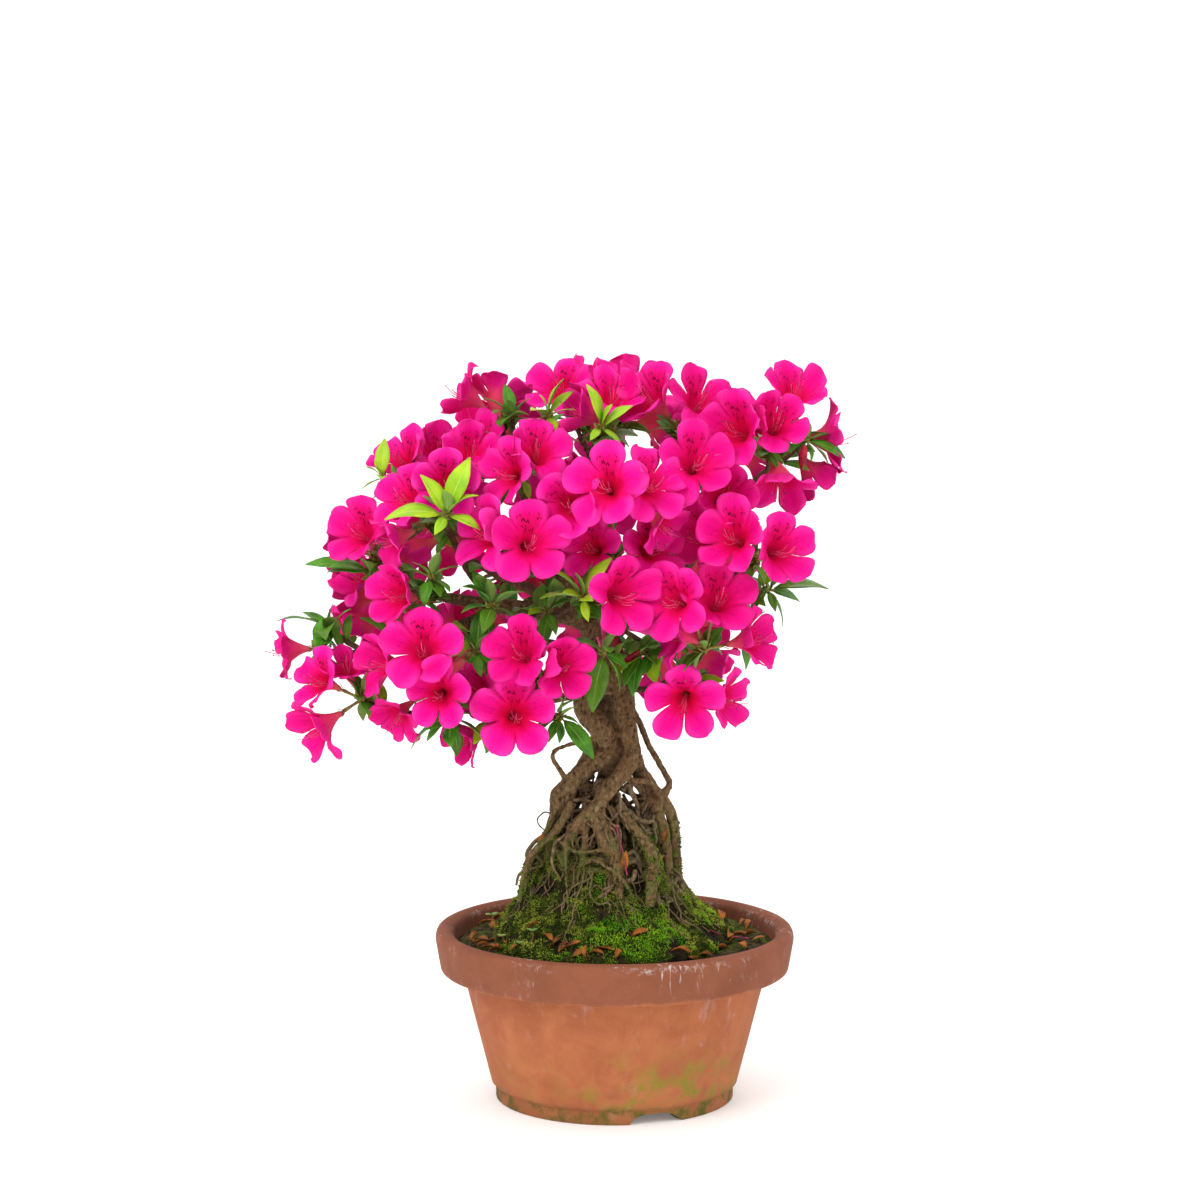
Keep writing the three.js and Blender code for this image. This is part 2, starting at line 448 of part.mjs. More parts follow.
// The moss mound: rings of points round its centre, wide over the soil and steep round the roots.
function makeMound() {
  const reachAt = (turn) => {
    const quarter = (turn / (Math.PI / 2)) % 4;
    const here = Math.floor(quarter);
    const blend = (1 - Math.cos((quarter - here) * Math.PI)) / 2;
    return THREE.MathUtils.lerp(mound.reach[here], mound.reach[(here + 1) % 4], blend);
  };
  const base = soil.top + seatGap;
  const points = [];
  const ring = (radiusAt, height, lump) => {
    for (let side = 0; side < mound.sides; side += 1) {
      const turn = (side / mound.sides) * 2 * Math.PI;
      const ripple = lump * (scatter(side * 7 + height) - 0.5) * 2;
      const radius = radiusAt(turn) + ripple;
      const x = mound.centre[0] + radius * Math.sin(turn);
      const y = mound.centre[1] - radius * Math.cos(turn);
      points.push(new THREE.Vector3(x, y, base + height + ripple * 0.4));
    }
  };
  for (const [share, height] of mound.steps) {
    const radiusAt = (turn) => THREE.MathUtils.lerp(reachAt(turn), mound.coreRadius, share);
    ring(radiusAt, height, height > 5 ? mound.lump : 0);
  }
  ring(() => mound.crownRadius, mound.crownHeight, mound.lump);
  const rings = mound.steps.length + 1;
  const triangles = [];
  for (let r = 0; r < rings - 1; r += 1) {
    for (let side = 0; side < mound.sides; side += 1) {
      const a = r * mound.sides + side;
      const b = r * mound.sides + ((side + 1) % mound.sides);
      triangles.push([a, b, b + mound.sides], [a, b + mound.sides, a + mound.sides]);
    }
  }
  const bottom = points.push(new THREE.Vector3(mound.centre[0], mound.centre[1], base)) - 1;
  const peak = base + mound.crownHeight + 4;
  const top = points.push(new THREE.Vector3(mound.centre[0], mound.centre[1], peak)) - 1;
  for (let side = 0; side < mound.sides; side += 1) {
    const next = (side + 1) % mound.sides;
    const high = (rings - 1) * mound.sides;
    triangles.push([bottom, next, side], [top, high + side, high + next]);
  }
  return solidOf(geometryOf(points, triangles));
}

// ---- tree: roots, trunk, branches and a twig to every truss and shoot ---------------------------

const ringsFor = (route) => Math.max(2, route.length - 1);

// Thin limbs have few sides; the trunk and the thick roots have more.
const sidesFor = (radii) => (Math.max(...radii) > 4.5 ? 6 : Math.max(...radii) > 2.7 ? 5 : 4);

function rootSolids(extra) {
  const strand = ({ route, radii }) => limb(route, radii, sidesFor(radii), ringsFor(route), extra);
  const deep = anchors.map(({ from, to, radii }) => limb([from, to], radii, 6, 1, extra));
  return [...roots.map(strand), ...deep];
}

// Every place on the branches that a twig may start from.
const twigStarts = branches.filter((branch) => branch.name !== 'trunk').flatMap((branch) => {
  const curve = new THREE.CatmullRomCurve3(branch.route.map(vector), false, 'centripetal');
  return Array.from({ length: 10 }, (unused, i) => curve.getPointAt(0.15 + 0.85 * (i / 9)));
});

function distanceToLine(point, from, to) {
  const line = new THREE.Line3(from, to);
  return line.closestPointToPoint(point, true, new THREE.Vector3()).distanceTo(point);
}

// A twig starts at the nearest place on a branch from where it passes the other hubs clear.
function twigStart(end, hubs) {
  const nearest = [...twigStarts].sort((a, b) => a.distanceTo(end) - b.distanceTo(end));
  const passes = (start, other) => other === end || distanceToLine(other, start, end) > twig.keepOff;
  return nearest.find((start) => hubs.every((other) => passes(start, other))) ?? nearest[0];
}

// Where a twig runs: it leaves its branch, rises a little and ends straight before the hub.
function twigRoute(end, hubs, radius) {
  const start = twigStart(end, hubs);
  const middle = start.clone().lerp(end, 0.5);
  middle.z -= start.distanceTo(end) * 0.06;
  const direction = end.clone().sub(middle).normalize();
  const length = start.distanceTo(end);
  const tail = Math.min(twig.straightEnd, length * 0.35);
  const seat = hubSeat(radius) + seatGap;
  return {
    direction,
    route: [start, middle, along(end, direction, -seat - tail), along(end, direction, -seat)],
  };
}

// ---- blooms ------------------------------------------------------------------------------------------

function bloomFrame([x, y, z, azimuth, elevation, size], push) {
  const axis = facing(azimuth, elevation);
  const right = new THREE.Vector3(Math.cos(radians(azimuth)), Math.sin(radians(azimuth)), 0);
  const up = axis.clone().cross(right);
  const mouth = new THREE.Vector3(x, y, z).addScaledVector(axis, push);
  return { axis, right, up, size, base: along(mouth, axis, -bloom.mouth * size) };
}

// One bloom: a funnel that tapers to the bud cup, with its open throat, and lobes whose outline
// both faces share. Its ring is the five notches between the lobes.
function bloomForm(frame, { spin, bends }) {
  const at = (radius, height, angle, bend = 0) => {
    const b = radians(bend);
    const out = radius * Math.cos(angle.off) - bloom.hinge[0];
    const rise = height - bloom.hinge[1];
    const across = radius * Math.sin(angle.off);
    const outward = bloom.hinge[0] + out * Math.cos(b) - rise * Math.sin(b);
    const forward = bloom.hinge[1] + out * Math.sin(b) + rise * Math.cos(b);
    const x = outward * Math.cos(angle.lobe) - across * Math.sin(angle.lobe);
    const y = outward * Math.sin(angle.lobe) + across * Math.cos(angle.lobe);
    return frame.base.clone()
      .addScaledVector(frame.right, x * frame.size)
      .addScaledVector(frame.up, y * frame.size)
      .addScaledVector(frame.axis, forward * frame.size);
  };
  const middleOf = (height, lobe, bend) => at(bloom.middle[0], height, { lobe, off: 0 }, bend * 0.5);
  const points = [along(frame.base, frame.axis, bloom.throat * frame.size)];
  const lobeAngle = (i) => radians(90 + spin + (360 / bloom.lobes) * i);
  const half = Math.PI / bloom.lobes;
  for (let i = 0; i < bloom.lobes; i += 1) {
    points.push(at(bloom.valley[0], bloom.valley[1], { lobe: lobeAngle(i) - half, off: 0 }));
  }
  const triangles = [];
  for (let i = 0; i < bloom.lobes; i += 1) {
    const lobe = lobeAngle(i);
    const bend = bends[i];
    const side = radians(bloom.side[2]);
    const first = points.length;
    points.push(
      at(bloom.side[0], bloom.side[1], { lobe, off: -side }, bend * 0.6),
      at(bloom.tip[0], bloom.tip[1], { lobe, off: 0 }, bend),
      at(bloom.side[0], bloom.side[1], { lobe, off: side }, bend * 0.6),
      middleOf(bloom.middle[1], lobe, bend),
      middleOf(bloom.middle[2], lobe, bend),
    );
    const [front, back] = [first + 3, first + 4];
    const valleyA = 1 + i;
    const valleyB = 1 + ((i + 1) % bloom.lobes);
    const outline = [valleyA, first, first + 1, first + 2, valleyB];
    for (let edge = 0; edge < outline.length - 1; edge += 1) {
      triangles.push([front, outline[edge], outline[edge + 1]], [back, outline[edge + 1], outline[edge]]);
    }
    triangles.push([0, valleyA, front], [0, front, valleyB], [valleyA, valleyB, back]);
  }
  const ring = Array.from({ length: bloom.lobes }, (unused, i) => 1 + i);
  return { points, triangles, ring, axis: frame.axis };
}

// Spins, moves and bends one bloom until it lies clear, and grows it on the hub. Returns
// whether a way was found.
function addBloom(form, row) {
  const faults = (trial) => {
    if (!trial) return Infinity;
    return crossing(trial.solid, form) + sharedVolume(trial.solid, form.mates);
  };
  for (const push of bloomPushes) {
    const frame = bloomFrame(row, push);
    const ringMiddle = along(frame.base, frame.axis, bloom.valley[1] * frame.size);
    for (const face of nearFaces(form, ringMiddle.sub(form.centre))) {
      for (const spin of bloomSpins) {
        const bends = new Array(bloom.lobes).fill(0);
        let best = grown(form, face, bloomForm(frame, { spin, bends }));
        let left = faults(best);
        for (let i = 0; i < bloom.lobes && left > faultLimit && best; i += 1) {
          let chosen = bends[i];
          for (const bend of lobeBends.slice(1)) {
            bends[i] = bend;
            const next = grown(form, face, bloomForm(frame, { spin, bends }));
            const now = faults(next);
            if (now < left) {
              left = now;
              chosen = bend;
              best = next;
            }
          }
          bends[i] = chosen;
        }
        if (left <= faultLimit) {
          best.attach();
          return true;
        }
      }
    }
  }
  return false;
}

// ---- hubs: a bud cup or leafy node is a small icosahedron, and what it carries grows from its
// faces, each growth taking the free face that looks its way ---------------------------------

function hubForm(centre, direction, radius) {
  const bare = new THREE.IcosahedronGeometry(radius, 0);
  bare.deleteAttribute('normal');
  bare.deleteAttribute('uv');
  const merged = mergeVertices(bare, 1e-4);
  const points = [];
  for (let i = 0; i < merged.attributes.position.count; i += 1) {
    points.push(new THREE.Vector3().fromBufferAttribute(merged.attributes.position, i));
  }
  const faces = [];
  for (let i = 0; i < merged.index.count; i += 3) faces.push([0, 1, 2].map((k) => merged.index.getX(i + k)));
  const normalOf = (face) => face.reduce((sum, i) => sum.add(points[i]), new THREE.Vector3()).normalize();
  const backwards = direction.clone().negate();
  const seat = new THREE.Quaternion().setFromUnitVectors(normalOf(faces[0]), backwards);
  for (const point of points) point.applyQuaternion(seat);
  const normals = faces.map(normalOf);
  for (const point of points) point.add(centre);
  const free = faces.map((unused, i) => i > 0);
  return { centre, points, faces, normals, free, triangles: [], mates: [] };
}

// Distance from a hub's middle to the flat face that sits against its twig.
const hubSeat = (radius) => radius * Math.cos(radians(37.377));

// The free faces of a hub that look most nearly along a direction, the nearest first.
function nearFaces(form, direction, count = 2) {
  return form.faces.map((unused, i) => i)
    .filter((i) => form.free[i])
    .sort((a, b) => form.normals[b].dot(direction) - form.normals[a].dot(direction))
    .slice(0, count);
}

// Joins two rings of points, both sorted by their angle round the same axis, with triangles.
function zipped(innerAngles, outerAngles) {
  const full = 2 * Math.PI;
  const apart = (a, b) => ((b - a) % full + full) % full;
  const first = innerAngles[0];
  const nearness = (angle) => Math.min(apart(first, angle), apart(angle, first));
  const nearer = (best, angle, j) => (nearness(angle) < nearness(outerAngles[best]) ? j : best);
  const start = outerAngles.reduce(nearer, 0);
  const [n, m] = [innerAngles.length, outerAngles.length];
  const innerTurns = innerAngles.slice(1).map((angle) => apart(first, angle));
  const outerTurn = (j) => apart(outerAngles[start], outerAngles[(start + j) % m]);
  const outerTurns = outerAngles.slice(1).map((unused, j) => outerTurn(j + 1));
  innerTurns.push(full);
  outerTurns.push(full);
  const triangles = [];
  let [i, j] = [0, 0];
  while (i < n || j < m) {
    const innerFirst = j === m || (i < n && innerTurns[i] <= outerTurns[j]);
    const [innerAt, outerAt] = [['inner', i % n], ['outer', (start + j) % m]];
    triangles.push([innerAt, innerFirst ? ['inner', (i + 1) % n] : ['outer', (start + j + 1) % m], outerAt]);
    if (innerFirst) i += 1;
    else j += 1;
  }
  return triangles;
}

// How many times a closed skin winds round a place: once inside a sound solid, and not outside.
function windings(points, triangles, place) {
  return triangles.reduce((sum, triangle) => {
    const [a, b, c] = triangle.map((i) => points[i].clone().sub(place));
    const [lengthA, lengthB, lengthC] = [a.length(), b.length(), c.length()];
    const below = lengthA * lengthB * lengthC + a.dot(b) * lengthC + b.dot(c) * lengthA + c.dot(a) * lengthB;
    return sum + Math.atan2(a.dot(b.cross(c)), below);
  }, 0) / (2 * Math.PI);
}

// Whether a closed skin never folds through itself: behind all its faces it winds alike.
function isSound(points, triangles) {
  const behind = triangles.map((triangle) => {
    const [a, b, c] = triangle.map((i) => points[i]);
    const back = c.clone().sub(a).cross(b.clone().sub(a)).normalize();
    const middle = a.clone().add(b).add(c).divideScalar(3);
    return Math.round(windings(points, triangles, along(middle, back, probeDepth)));
  });
  return behind.every((count) => count === behind[0]);
}

// A growth is { points, triangles, ring, axis }: a closed skin but for the opening at its ring,
// which is joined here to one face of the hub. Returns it as a solid of its own too, or nothing
// where the two openings don't look at each other.
function grown(form, face, growth) {
  const middleOf = (points) => {
    const sum = points.reduce((total, p) => total.add(p), new THREE.Vector3());
    return sum.divideScalar(points.length);
  };
  const innerMiddle = middleOf(form.faces[face].map((i) => form.points[i]));
  const outerMiddle = middleOf(growth.ring.map((i) => growth.points[i]));
  const way = outerMiddle.clone().sub(innerMiddle).normalize();
  if (way.dot(form.normals[face]) < facingLimit || way.dot(growth.axis) < facingLimit) return undefined;
  const reference = Math.abs(way.z) > 0.9 ? new THREE.Vector3(1, 0, 0) : new THREE.Vector3(0, 0, 1);
  const right = reference.cross(way).normalize();
  const up = way.clone().cross(right);
  const angleRound = (middle, points) => (i) => {
    const arm = points[i].clone().sub(middle);
    return Math.atan2(arm.dot(up), arm.dot(right));
  };
  const innerAngle = angleRound(innerMiddle, form.points);
  const outerAngle = angleRound(outerMiddle, growth.points);
  const inner = [...form.faces[face]].sort((a, b) => innerAngle(a) - innerAngle(b));
  const outer = [...growth.ring].sort((a, b) => outerAngle(a) - outerAngle(b));
  const band = zipped(inner.map(innerAngle), outer.map(outerAngle));
  const skin = (innerIndex, outerIndex) => {
    const indexOf = ([side, k]) => (side === 'inner' ? innerIndex(k) : outerIndex(outer[k]));
    const joined = band.map((triangle) => triangle.map(indexOf));
    return [...joined, ...growth.triangles.map((triangle) => triangle.map(outerIndex))];
  };
  const own = [...skin((k) => k, (i) => i + 3), [0, 2, 1]];
  const ownPoints = [...inner.map((i) => form.points[i]), ...growth.points];
  const solid = solidOf(geometryOf(ownPoints, own));
  const attach = () => {
    const shift = form.points.length;
    form.points.push(...growth.points);
    form.triangles.push(...skin((k) => inner[k], (i) => i + shift));
    form.free[face] = false;
    form.mates.push({ solid, box: solid.boundingBox() });
  };
  return { solid, attach, sound: () => isSound(ownPoints, own) };
}

function hubSolid(form) {
  const closed = form.faces.filter((unused, i) => form.free[i] || i === 0);
  return solidOf(geometryOf(form.points, [...closed, ...form.triangles]));
}

function sharedVolume(solid, mates) {
  const box = solid.boundingBox();
  const near = mates.filter((mate) => boxesMeet(box, mate.box));
  return near.reduce((sum, mate) => sum + solid.intersect(mate.solid).volume(), 0);
}

function growTruss(form, truss, leftOut) {
  truss.blooms.forEach((row, i) => {
    if (!addBloom(form, row)) leftOut.push(`${truss.place} bloom ${i}`);
  });
  return hubSolid(form);
}

// A back truss has one bloom straight ahead and the others in a ring round it.
function backBlooms(truss) {
  const ahead = facing(...truss.face);
  const right = new THREE.Vector3(Math.cos(radians(truss.face[0])), Math.sin(radians(truss.face[0])), 0);
  const ways = [ahead.clone()];
  for (let i = 0; i < backFan.around; i += 1) {
    ways.push(ahead.clone().applyAxisAngle(right, radians(backFan.tilt))
      .applyAxisAngle(ahead, radians(backFan.firstTurn + (360 / backFan.around) * i)));
  }
  return ways.map((way, i) => {
    const mouth = along(vector(truss.hub), way, backFan.reach);
    const azimuth = THREE.MathUtils.radToDeg(Math.atan2(way.x, -way.y));
    const elevation = THREE.MathUtils.radToDeg(Math.asin(way.z));
    return [mouth.x, mouth.y, mouth.z, azimuth, elevation, backFan.sizes[i]];
  });
}

// ---- leaves ------------------------------------------------------------------------------------------

// A leaf from the shoot's centre to its tip, arched, with a raised midrib.
function leafForm(base, tip, roll) {
  const direction = tip.clone().sub(base).normalize();
  const length = tip.distanceTo(base);
  const upward = new THREE.Vector3(0, -0.25, 1);
  const level = upward.addScaledVector(direction, -upward.dot(direction)).normalize();
  const up = level.applyAxisAngle(direction, roll);
  const right = up.clone().cross(direction);
  const at = (side, raise) => along(base, direction, leaf.widest * length)
    .addScaledVector(right, side * length * leaf.widthShare).addScaledVector(up, length * leaf.arch + raise);
  return {
    points: [at(0.5, 0), at(0, leaf.thick), at(-0.5, 0), tip.clone()],
    triangles: [[0, 1, 3], [1, 2, 3], [2, 0, 3]],
    ring: [0, 1, 2],
    axis: direction,
  };
}

// Swings a leaf sideways and lifts it until it lies clear, and grows it on the shoot's hub.
function addLeaf(form, tip, roll) {
  const direction = tip.clone().sub(form.centre);
  const sideways = direction.clone().cross(new THREE.Vector3(0, 0, 1)).normalize();
  for (const [lift, swing] of leafTurns) {
    const turnedTip = direction.clone().applyAxisAngle(sideways, radians(lift))
      .applyAxisAngle(new THREE.Vector3(0, 0, 1), radians(swing)).add(form.centre);
    for (const face of nearFaces(form, direction, leaf.faces)) {
      const next = grown(form, face, leafForm(form.centre, turnedTip, roll));
      const clear = next && crossing(next.solid, form) + sharedVolume(next.solid, form.mates) <= faultLimit;
      if (clear && next.sound()) {
        next.attach();
        return true;
      }
    }
  }
  return false;
}

function whorlTips(shoot, shootIndex, count) {
  const centre = vector(shoot.hub);
  const axis = facing(...shoot.face);
  const right = new THREE.Vector3(Math.cos(radians(shoot.face[0])), Math.sin(radians(shoot.face[0])), 0);
  return Array.from({ length: count }, (unused, i) => {
    const draw = scatter(shootIndex * 31 + i);
    const open = radians(THREE.MathUtils.lerp(...whorl.opening, draw));
    const length = THREE.MathUtils.lerp(...whorl.length, scatter(shootIndex * 17 + i * 3));
    const direction = axis.clone().applyAxisAngle(right, open)
      .applyAxisAngle(axis, radians(whorl.goldenAngle * (i + shootIndex)));
    return along(centre, direction, length);
  });
}

function growShoot(form, shoot, index, leftOut) {
  const count = shoot.tips.length > 0 ? whorl.front : whorl.back;
  [...shoot.tips.map(vector), ...whorlTips(shoot, index, count)].forEach((tip, i) => {
    const roll = radians((scatter(index * 13 + i * 5) - 0.5) * leaf.roll);
    if (!addLeaf(form, tip, roll)) leftOut.push(`${shoot.place} leaf ${i}`);
  });
  return hubSolid(form);
}

// ---- colours -------------------------------------------------------------------------------------------

const materials = {
  terracotta: new THREE.MeshStandardMaterial({ color: 0xb96e4b, roughness: 0.85, metalness: 0 }),
  soil: new THREE.MeshStandardMaterial({ color: 0x3a2a1e, roughness: 1, metalness: 0 }),
  moss: new THREE.MeshStandardMaterial({ color: 0x4d6b1a, roughness: 1, metalness: 0 }),
  bark: new THREE.MeshStandardMaterial({ color: 0x6d5442, roughness: 0.9, metalness: 0 }),
  petal: new THREE.MeshStandardMaterial({ color: 0xf0148c, roughness: 0.55, metalness: 0 }),
  leafOld: new THREE.MeshStandardMaterial({ color: 0x33692b, roughness: 0.5, metalness: 0 }),
  leafYoung: new THREE.MeshStandardMaterial({ color: 0x8fb31f, roughness: 0.5, metalness: 0 }),
};

// ---- assembly --------------------------------------------------------------------------------------------

const bonsai = new THREE.Group();
const leftOut = [];
const trusses = [...frontTrusses, ...backTrusses.map((truss) => ({ ...truss, blooms: backBlooms(truss) }))];
const hubs = [...trusses, ...shoots].map((item) => vector(item.hub));
const hubRadius = (i) => (i < trusses.length ? hub.truss : hub.shoot);
const twigs = hubs.map((end, i) => twigRoute(end, hubs, hubRadius(i)));

const limbs = [
  ...rootSolids(0),
  ...branches.map(({ route, radii }) => limb(route, radii, sidesFor(radii), ringsFor(route))),
  ...twigs.map(({ route }) => limb(route, [twig.startRadius, twig.endRadius], twig.sides, 2)),
];
limbs.forEach(place);
const tree = largestPiece(fused(limbs).simplify(smoothing * 2));

const buriedRoots = fused(rootSolids(seatGap + 0.05));
bonsai.add(
  meshOf('pot', makePot(), materials.terracotta),
  meshOf('soil', largestPiece(makeSoil().subtract(buriedRoots).simplify(0.02)), materials.soil),
  meshOf('moss_mound', largestPiece(makeMound().subtract(buriedRoots).simplify(0.05)), materials.moss),
  meshOf('tree', tree, materials.bark),
);

// Every hub takes its place first, so that nothing grows where another hub will be.
const forms = twigs.map(({ direction }, i) => hubForm(hubs[i], direction, hubRadius(i)));
forms.forEach((form, i) => {
  const solid = hubSolid(form);
  if (crossing(solid, form) > 0) leftOut.push(`hub ${[...trusses, ...shoots][i].place}`);
  place(solid, form);
  form.mates.push({ solid, box: solid.boundingBox() });
});
trusses.forEach((truss, i) => {
  const solid = growTruss(forms[i], truss, leftOut);
  place(solid, forms[i]);
  bonsai.add(meshOf(`bloom_truss_${truss.place}`, solid, materials.petal));
});
shoots.forEach((shoot, i) => {
  const form = forms[trusses.length + i];
  const solid = growShoot(form, shoot, i, leftOut);
  place(solid, form);
  const colour = shoot.age === 'young' ? materials.leafYoung : materials.leafOld;
  bonsai.add(meshOf(`leafy_shoot_${shoot.place}`, solid, colour));
});

// The origin goes to the middle of the bounding box, on the surface that the pot stands on.
const box = new THREE.Box3().setFromObject(bonsai);
bonsai.position.set(-(box.min.x + box.max.x) / 2, -(box.min.y + box.max.y) / 2, 0);
bonsai.updateMatrixWorld(true);
bonsai.userData.leftOut = leftOut;

export default bonsai;
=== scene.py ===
# A satsuki azalea bonsai with exposed roots, in full bloom, in its terracotta training pot.
# The lists below are in millimetres from the centre of the pot's underside, with the viewer at -Y.
import math
import random

import bmesh
import bpy
from mathutils import Matrix, Quaternion, Vector, noise
from mathutils.bvhtree import BVHTree
from mathutils.kdtree import KDTree


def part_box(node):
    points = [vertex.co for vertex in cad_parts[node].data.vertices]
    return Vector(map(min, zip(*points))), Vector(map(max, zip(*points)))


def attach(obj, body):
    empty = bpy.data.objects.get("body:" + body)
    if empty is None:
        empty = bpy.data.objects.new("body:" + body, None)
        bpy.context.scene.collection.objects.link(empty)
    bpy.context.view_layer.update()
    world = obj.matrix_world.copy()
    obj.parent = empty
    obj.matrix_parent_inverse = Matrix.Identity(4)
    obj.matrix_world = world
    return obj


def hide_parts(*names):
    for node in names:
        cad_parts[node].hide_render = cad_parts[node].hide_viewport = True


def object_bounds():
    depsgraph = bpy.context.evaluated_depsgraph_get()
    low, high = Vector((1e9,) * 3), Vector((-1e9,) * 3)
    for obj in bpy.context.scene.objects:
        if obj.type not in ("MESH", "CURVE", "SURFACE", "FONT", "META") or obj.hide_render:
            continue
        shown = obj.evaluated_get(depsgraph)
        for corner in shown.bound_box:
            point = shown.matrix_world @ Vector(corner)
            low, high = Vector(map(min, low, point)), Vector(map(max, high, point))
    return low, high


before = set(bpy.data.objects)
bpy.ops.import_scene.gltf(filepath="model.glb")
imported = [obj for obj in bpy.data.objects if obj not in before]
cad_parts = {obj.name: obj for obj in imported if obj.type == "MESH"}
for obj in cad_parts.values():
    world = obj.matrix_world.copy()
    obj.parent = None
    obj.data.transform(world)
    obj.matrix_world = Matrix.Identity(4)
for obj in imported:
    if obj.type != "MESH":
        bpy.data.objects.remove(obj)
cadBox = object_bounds()
scene = bpy.context.scene
noise.seed_set(1795502639)  # without it the fine roots and twigs would bend otherwise in each run
mm = 0.001
fullTurn = 2 * math.pi
upward = Vector((0, 0, 1))
potLow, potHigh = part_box("pot")
potAxis = Vector(((potLow.x + potHigh.x) / 2, (potLow.y + potHigh.y) / 2, 0))


def placed(point):  # from the lists' millimetres to the frame's metres
    return Vector(point) * mm + potAxis


def listed(point):  # and back again
    return (point - potAxis) / mm


def smoothStep(low, high, value):
    share = min(max((value - low) / (high - low), 0), 1)
    return share * share * (3 - 2 * share)


def mixed(a, b, share):
    return a + (b - a) * share


def scatter(count):  # a number from 0 to 1 that depends only on a count
    wave = math.sin(count * 12.9898 + 4.1414) * 43758.5453
    return wave - math.floor(wave)


def facing(azimuth, elevation):
    a, e = math.radians(azimuth), math.radians(elevation)
    return Vector((math.sin(a) * math.cos(e), -math.cos(a) * math.cos(e), math.sin(e)))


def rightOf(azimuth):
    a = math.radians(azimuth)
    return Vector((math.cos(a), math.sin(a), 0))


def turnedRound(vector, axis, degrees):
    return Quaternion(axis, math.radians(degrees)) @ vector


def sideOf(way, degrees):  # a direction across a way
    return turnedRound(way.orthogonal().normalized(), way, degrees)


def meshOf(name, points, faces):  # points in the lists' millimetres
    mesh = bpy.data.meshes.new(name)
    mesh.from_pydata([placed(p) for p in points], [], faces)
    mesh.update()
    mesh.shade_smooth()
    return mesh


def objectOf(name, mesh, *materials):
    made = bpy.data.objects.new(name, mesh)
    scene.collection.objects.link(made)
    for material in materials:
        mesh.materials.append(material)
    return made


def setFloats(mesh, label, values):
    layer = mesh.attributes.new(label, "FLOAT", "POINT")
    layer.data.foreach_set("value", [float(v) for v in values])


def setVectors(mesh, label, values):
    layer = mesh.attributes.new(label, "FLOAT_VECTOR", "POINT")
    layer.data.foreach_set("vector", [c for v in values for c in v])


def evaluatedMesh(carrier):  # what an object's modifiers make of it, as a plain mesh; the object goes
    graph = bpy.context.evaluated_depsgraph_get()
    mesh = bpy.data.meshes.new_from_object(
        carrier.evaluated_get(graph), preserve_all_data_layers=True, depsgraph=graph
    )
    bpy.data.objects.remove(carrier)
    return mesh


def joinedMesh(name, *meshes):  # several meshes as one, with their materials and attributes
    objects = [objectOf(name + "Part", mesh) for mesh in meshes]
    with bpy.context.temp_override(
        active_object=objects[0], object=objects[0],
        selected_objects=objects, selected_editable_objects=objects,
    ):
        bpy.ops.object.join()
    mesh = objects[0].data
    bpy.data.objects.remove(objects[0])
    return mesh


def shaped(name, form):  # a plain mesh from a mesh in the making
    mesh = bpy.data.meshes.new(name)
    form.to_mesh(mesh)
    form.free()
    return mesh


def outward(mesh):  # closes tiny seams and turns all faces outwards
    form = bmesh.new()
    form.from_mesh(mesh)
    bmesh.ops.remove_doubles(form, verts=form.verts, dist=1e-6)
    bmesh.ops.recalc_face_normals(form, faces=form.faces)
    form.to_mesh(mesh)
    form.free()


def ringFaces(rings, count):  # quads between closed rings of equally many points
    return [(a + i, a + (i + 1) % count, a + count + (i + 1) % count, a + count + i)
            for a in range(0, (rings - 1) * count, count) for i in range(count)]


def hiddenShape(name, points, faces, **floats):  # a small shape for the copies, in metres
    mesh = bpy.data.meshes.new(name)
    mesh.from_pydata(points, [], faces)
    mesh.shade_smooth()
    for label, values in floats.items():
        setFloats(mesh, label, values)
    return bpy.data.objects.new(name, mesh)


def loftedShape(name, rings):  # a closed small shape through rings of equally many points
    count, last = len(rings[0]), (len(rings) - 1) * len(rings[0])
    faces = ringFaces(len(rings), count)
    faces += [tuple(range(count - 1, -1, -1)), tuple(range(last, last + count))]
    made = hiddenShape(name, [p for ring in rings for p in ring], faces)
    outward(made.data)
    return made


def ready(name, mesh, slot, *nodes):  # the finished piece, with what it stands for
    mesh.name = name
    piece = objectOf(name, mesh)
    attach(piece, "root")
    if nodes:
        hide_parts(*nodes)


def colour(text):  # a colour as it looks on screen, made linear
    channels = [int(text[i:i + 2], 16) / 255 for i in (0, 2, 4)]
    return tuple(c / 12.92 if c <= 0.04045 else ((c + 0.055) / 1.055) ** 2.4 for c in channels) + (1.0,)


def reckoning(kind, swapped=False):  # an operator that puts in a Math node
    def reckon(self, other=0):
        return self.nodes.maths(kind, *((other, self) if swapped else (self, other)))

    return reckon


class Signal:
    # what a node puts out, to link on or to reckon with
    def __init__(self, nodes, socket):
        self.nodes, self.socket = nodes, socket

    def out(self, label):  # another output of the same node
        return Signal(self.nodes, self.socket.node.outputs[label])

    __add__, __radd__ = reckoning("ADD"), reckoning("ADD", True)
    __sub__, __rsub__ = reckoning("SUBTRACT"), reckoning("SUBTRACT", True)
    __mul__, __truediv__ = reckoning("MULTIPLY"), reckoning("DIVIDE")
    __abs__, fraction = reckoning("ABSOLUTE"), reckoning("FRACT")

    def held(self):  # kept from 0 to 1
        self.socket.node.use_clamp = True
        return self

    def step(self, low, high, toLow=0, toHigh=1):  # a smooth step between two levels
        return self.nodes.add("ShaderNodeMapRange", {
            "Value": self, "From Min": low, "From Max": high, "To Min": toLow, "To Max": toHigh,
        }, interpolation_type="SMOOTHSTEP")


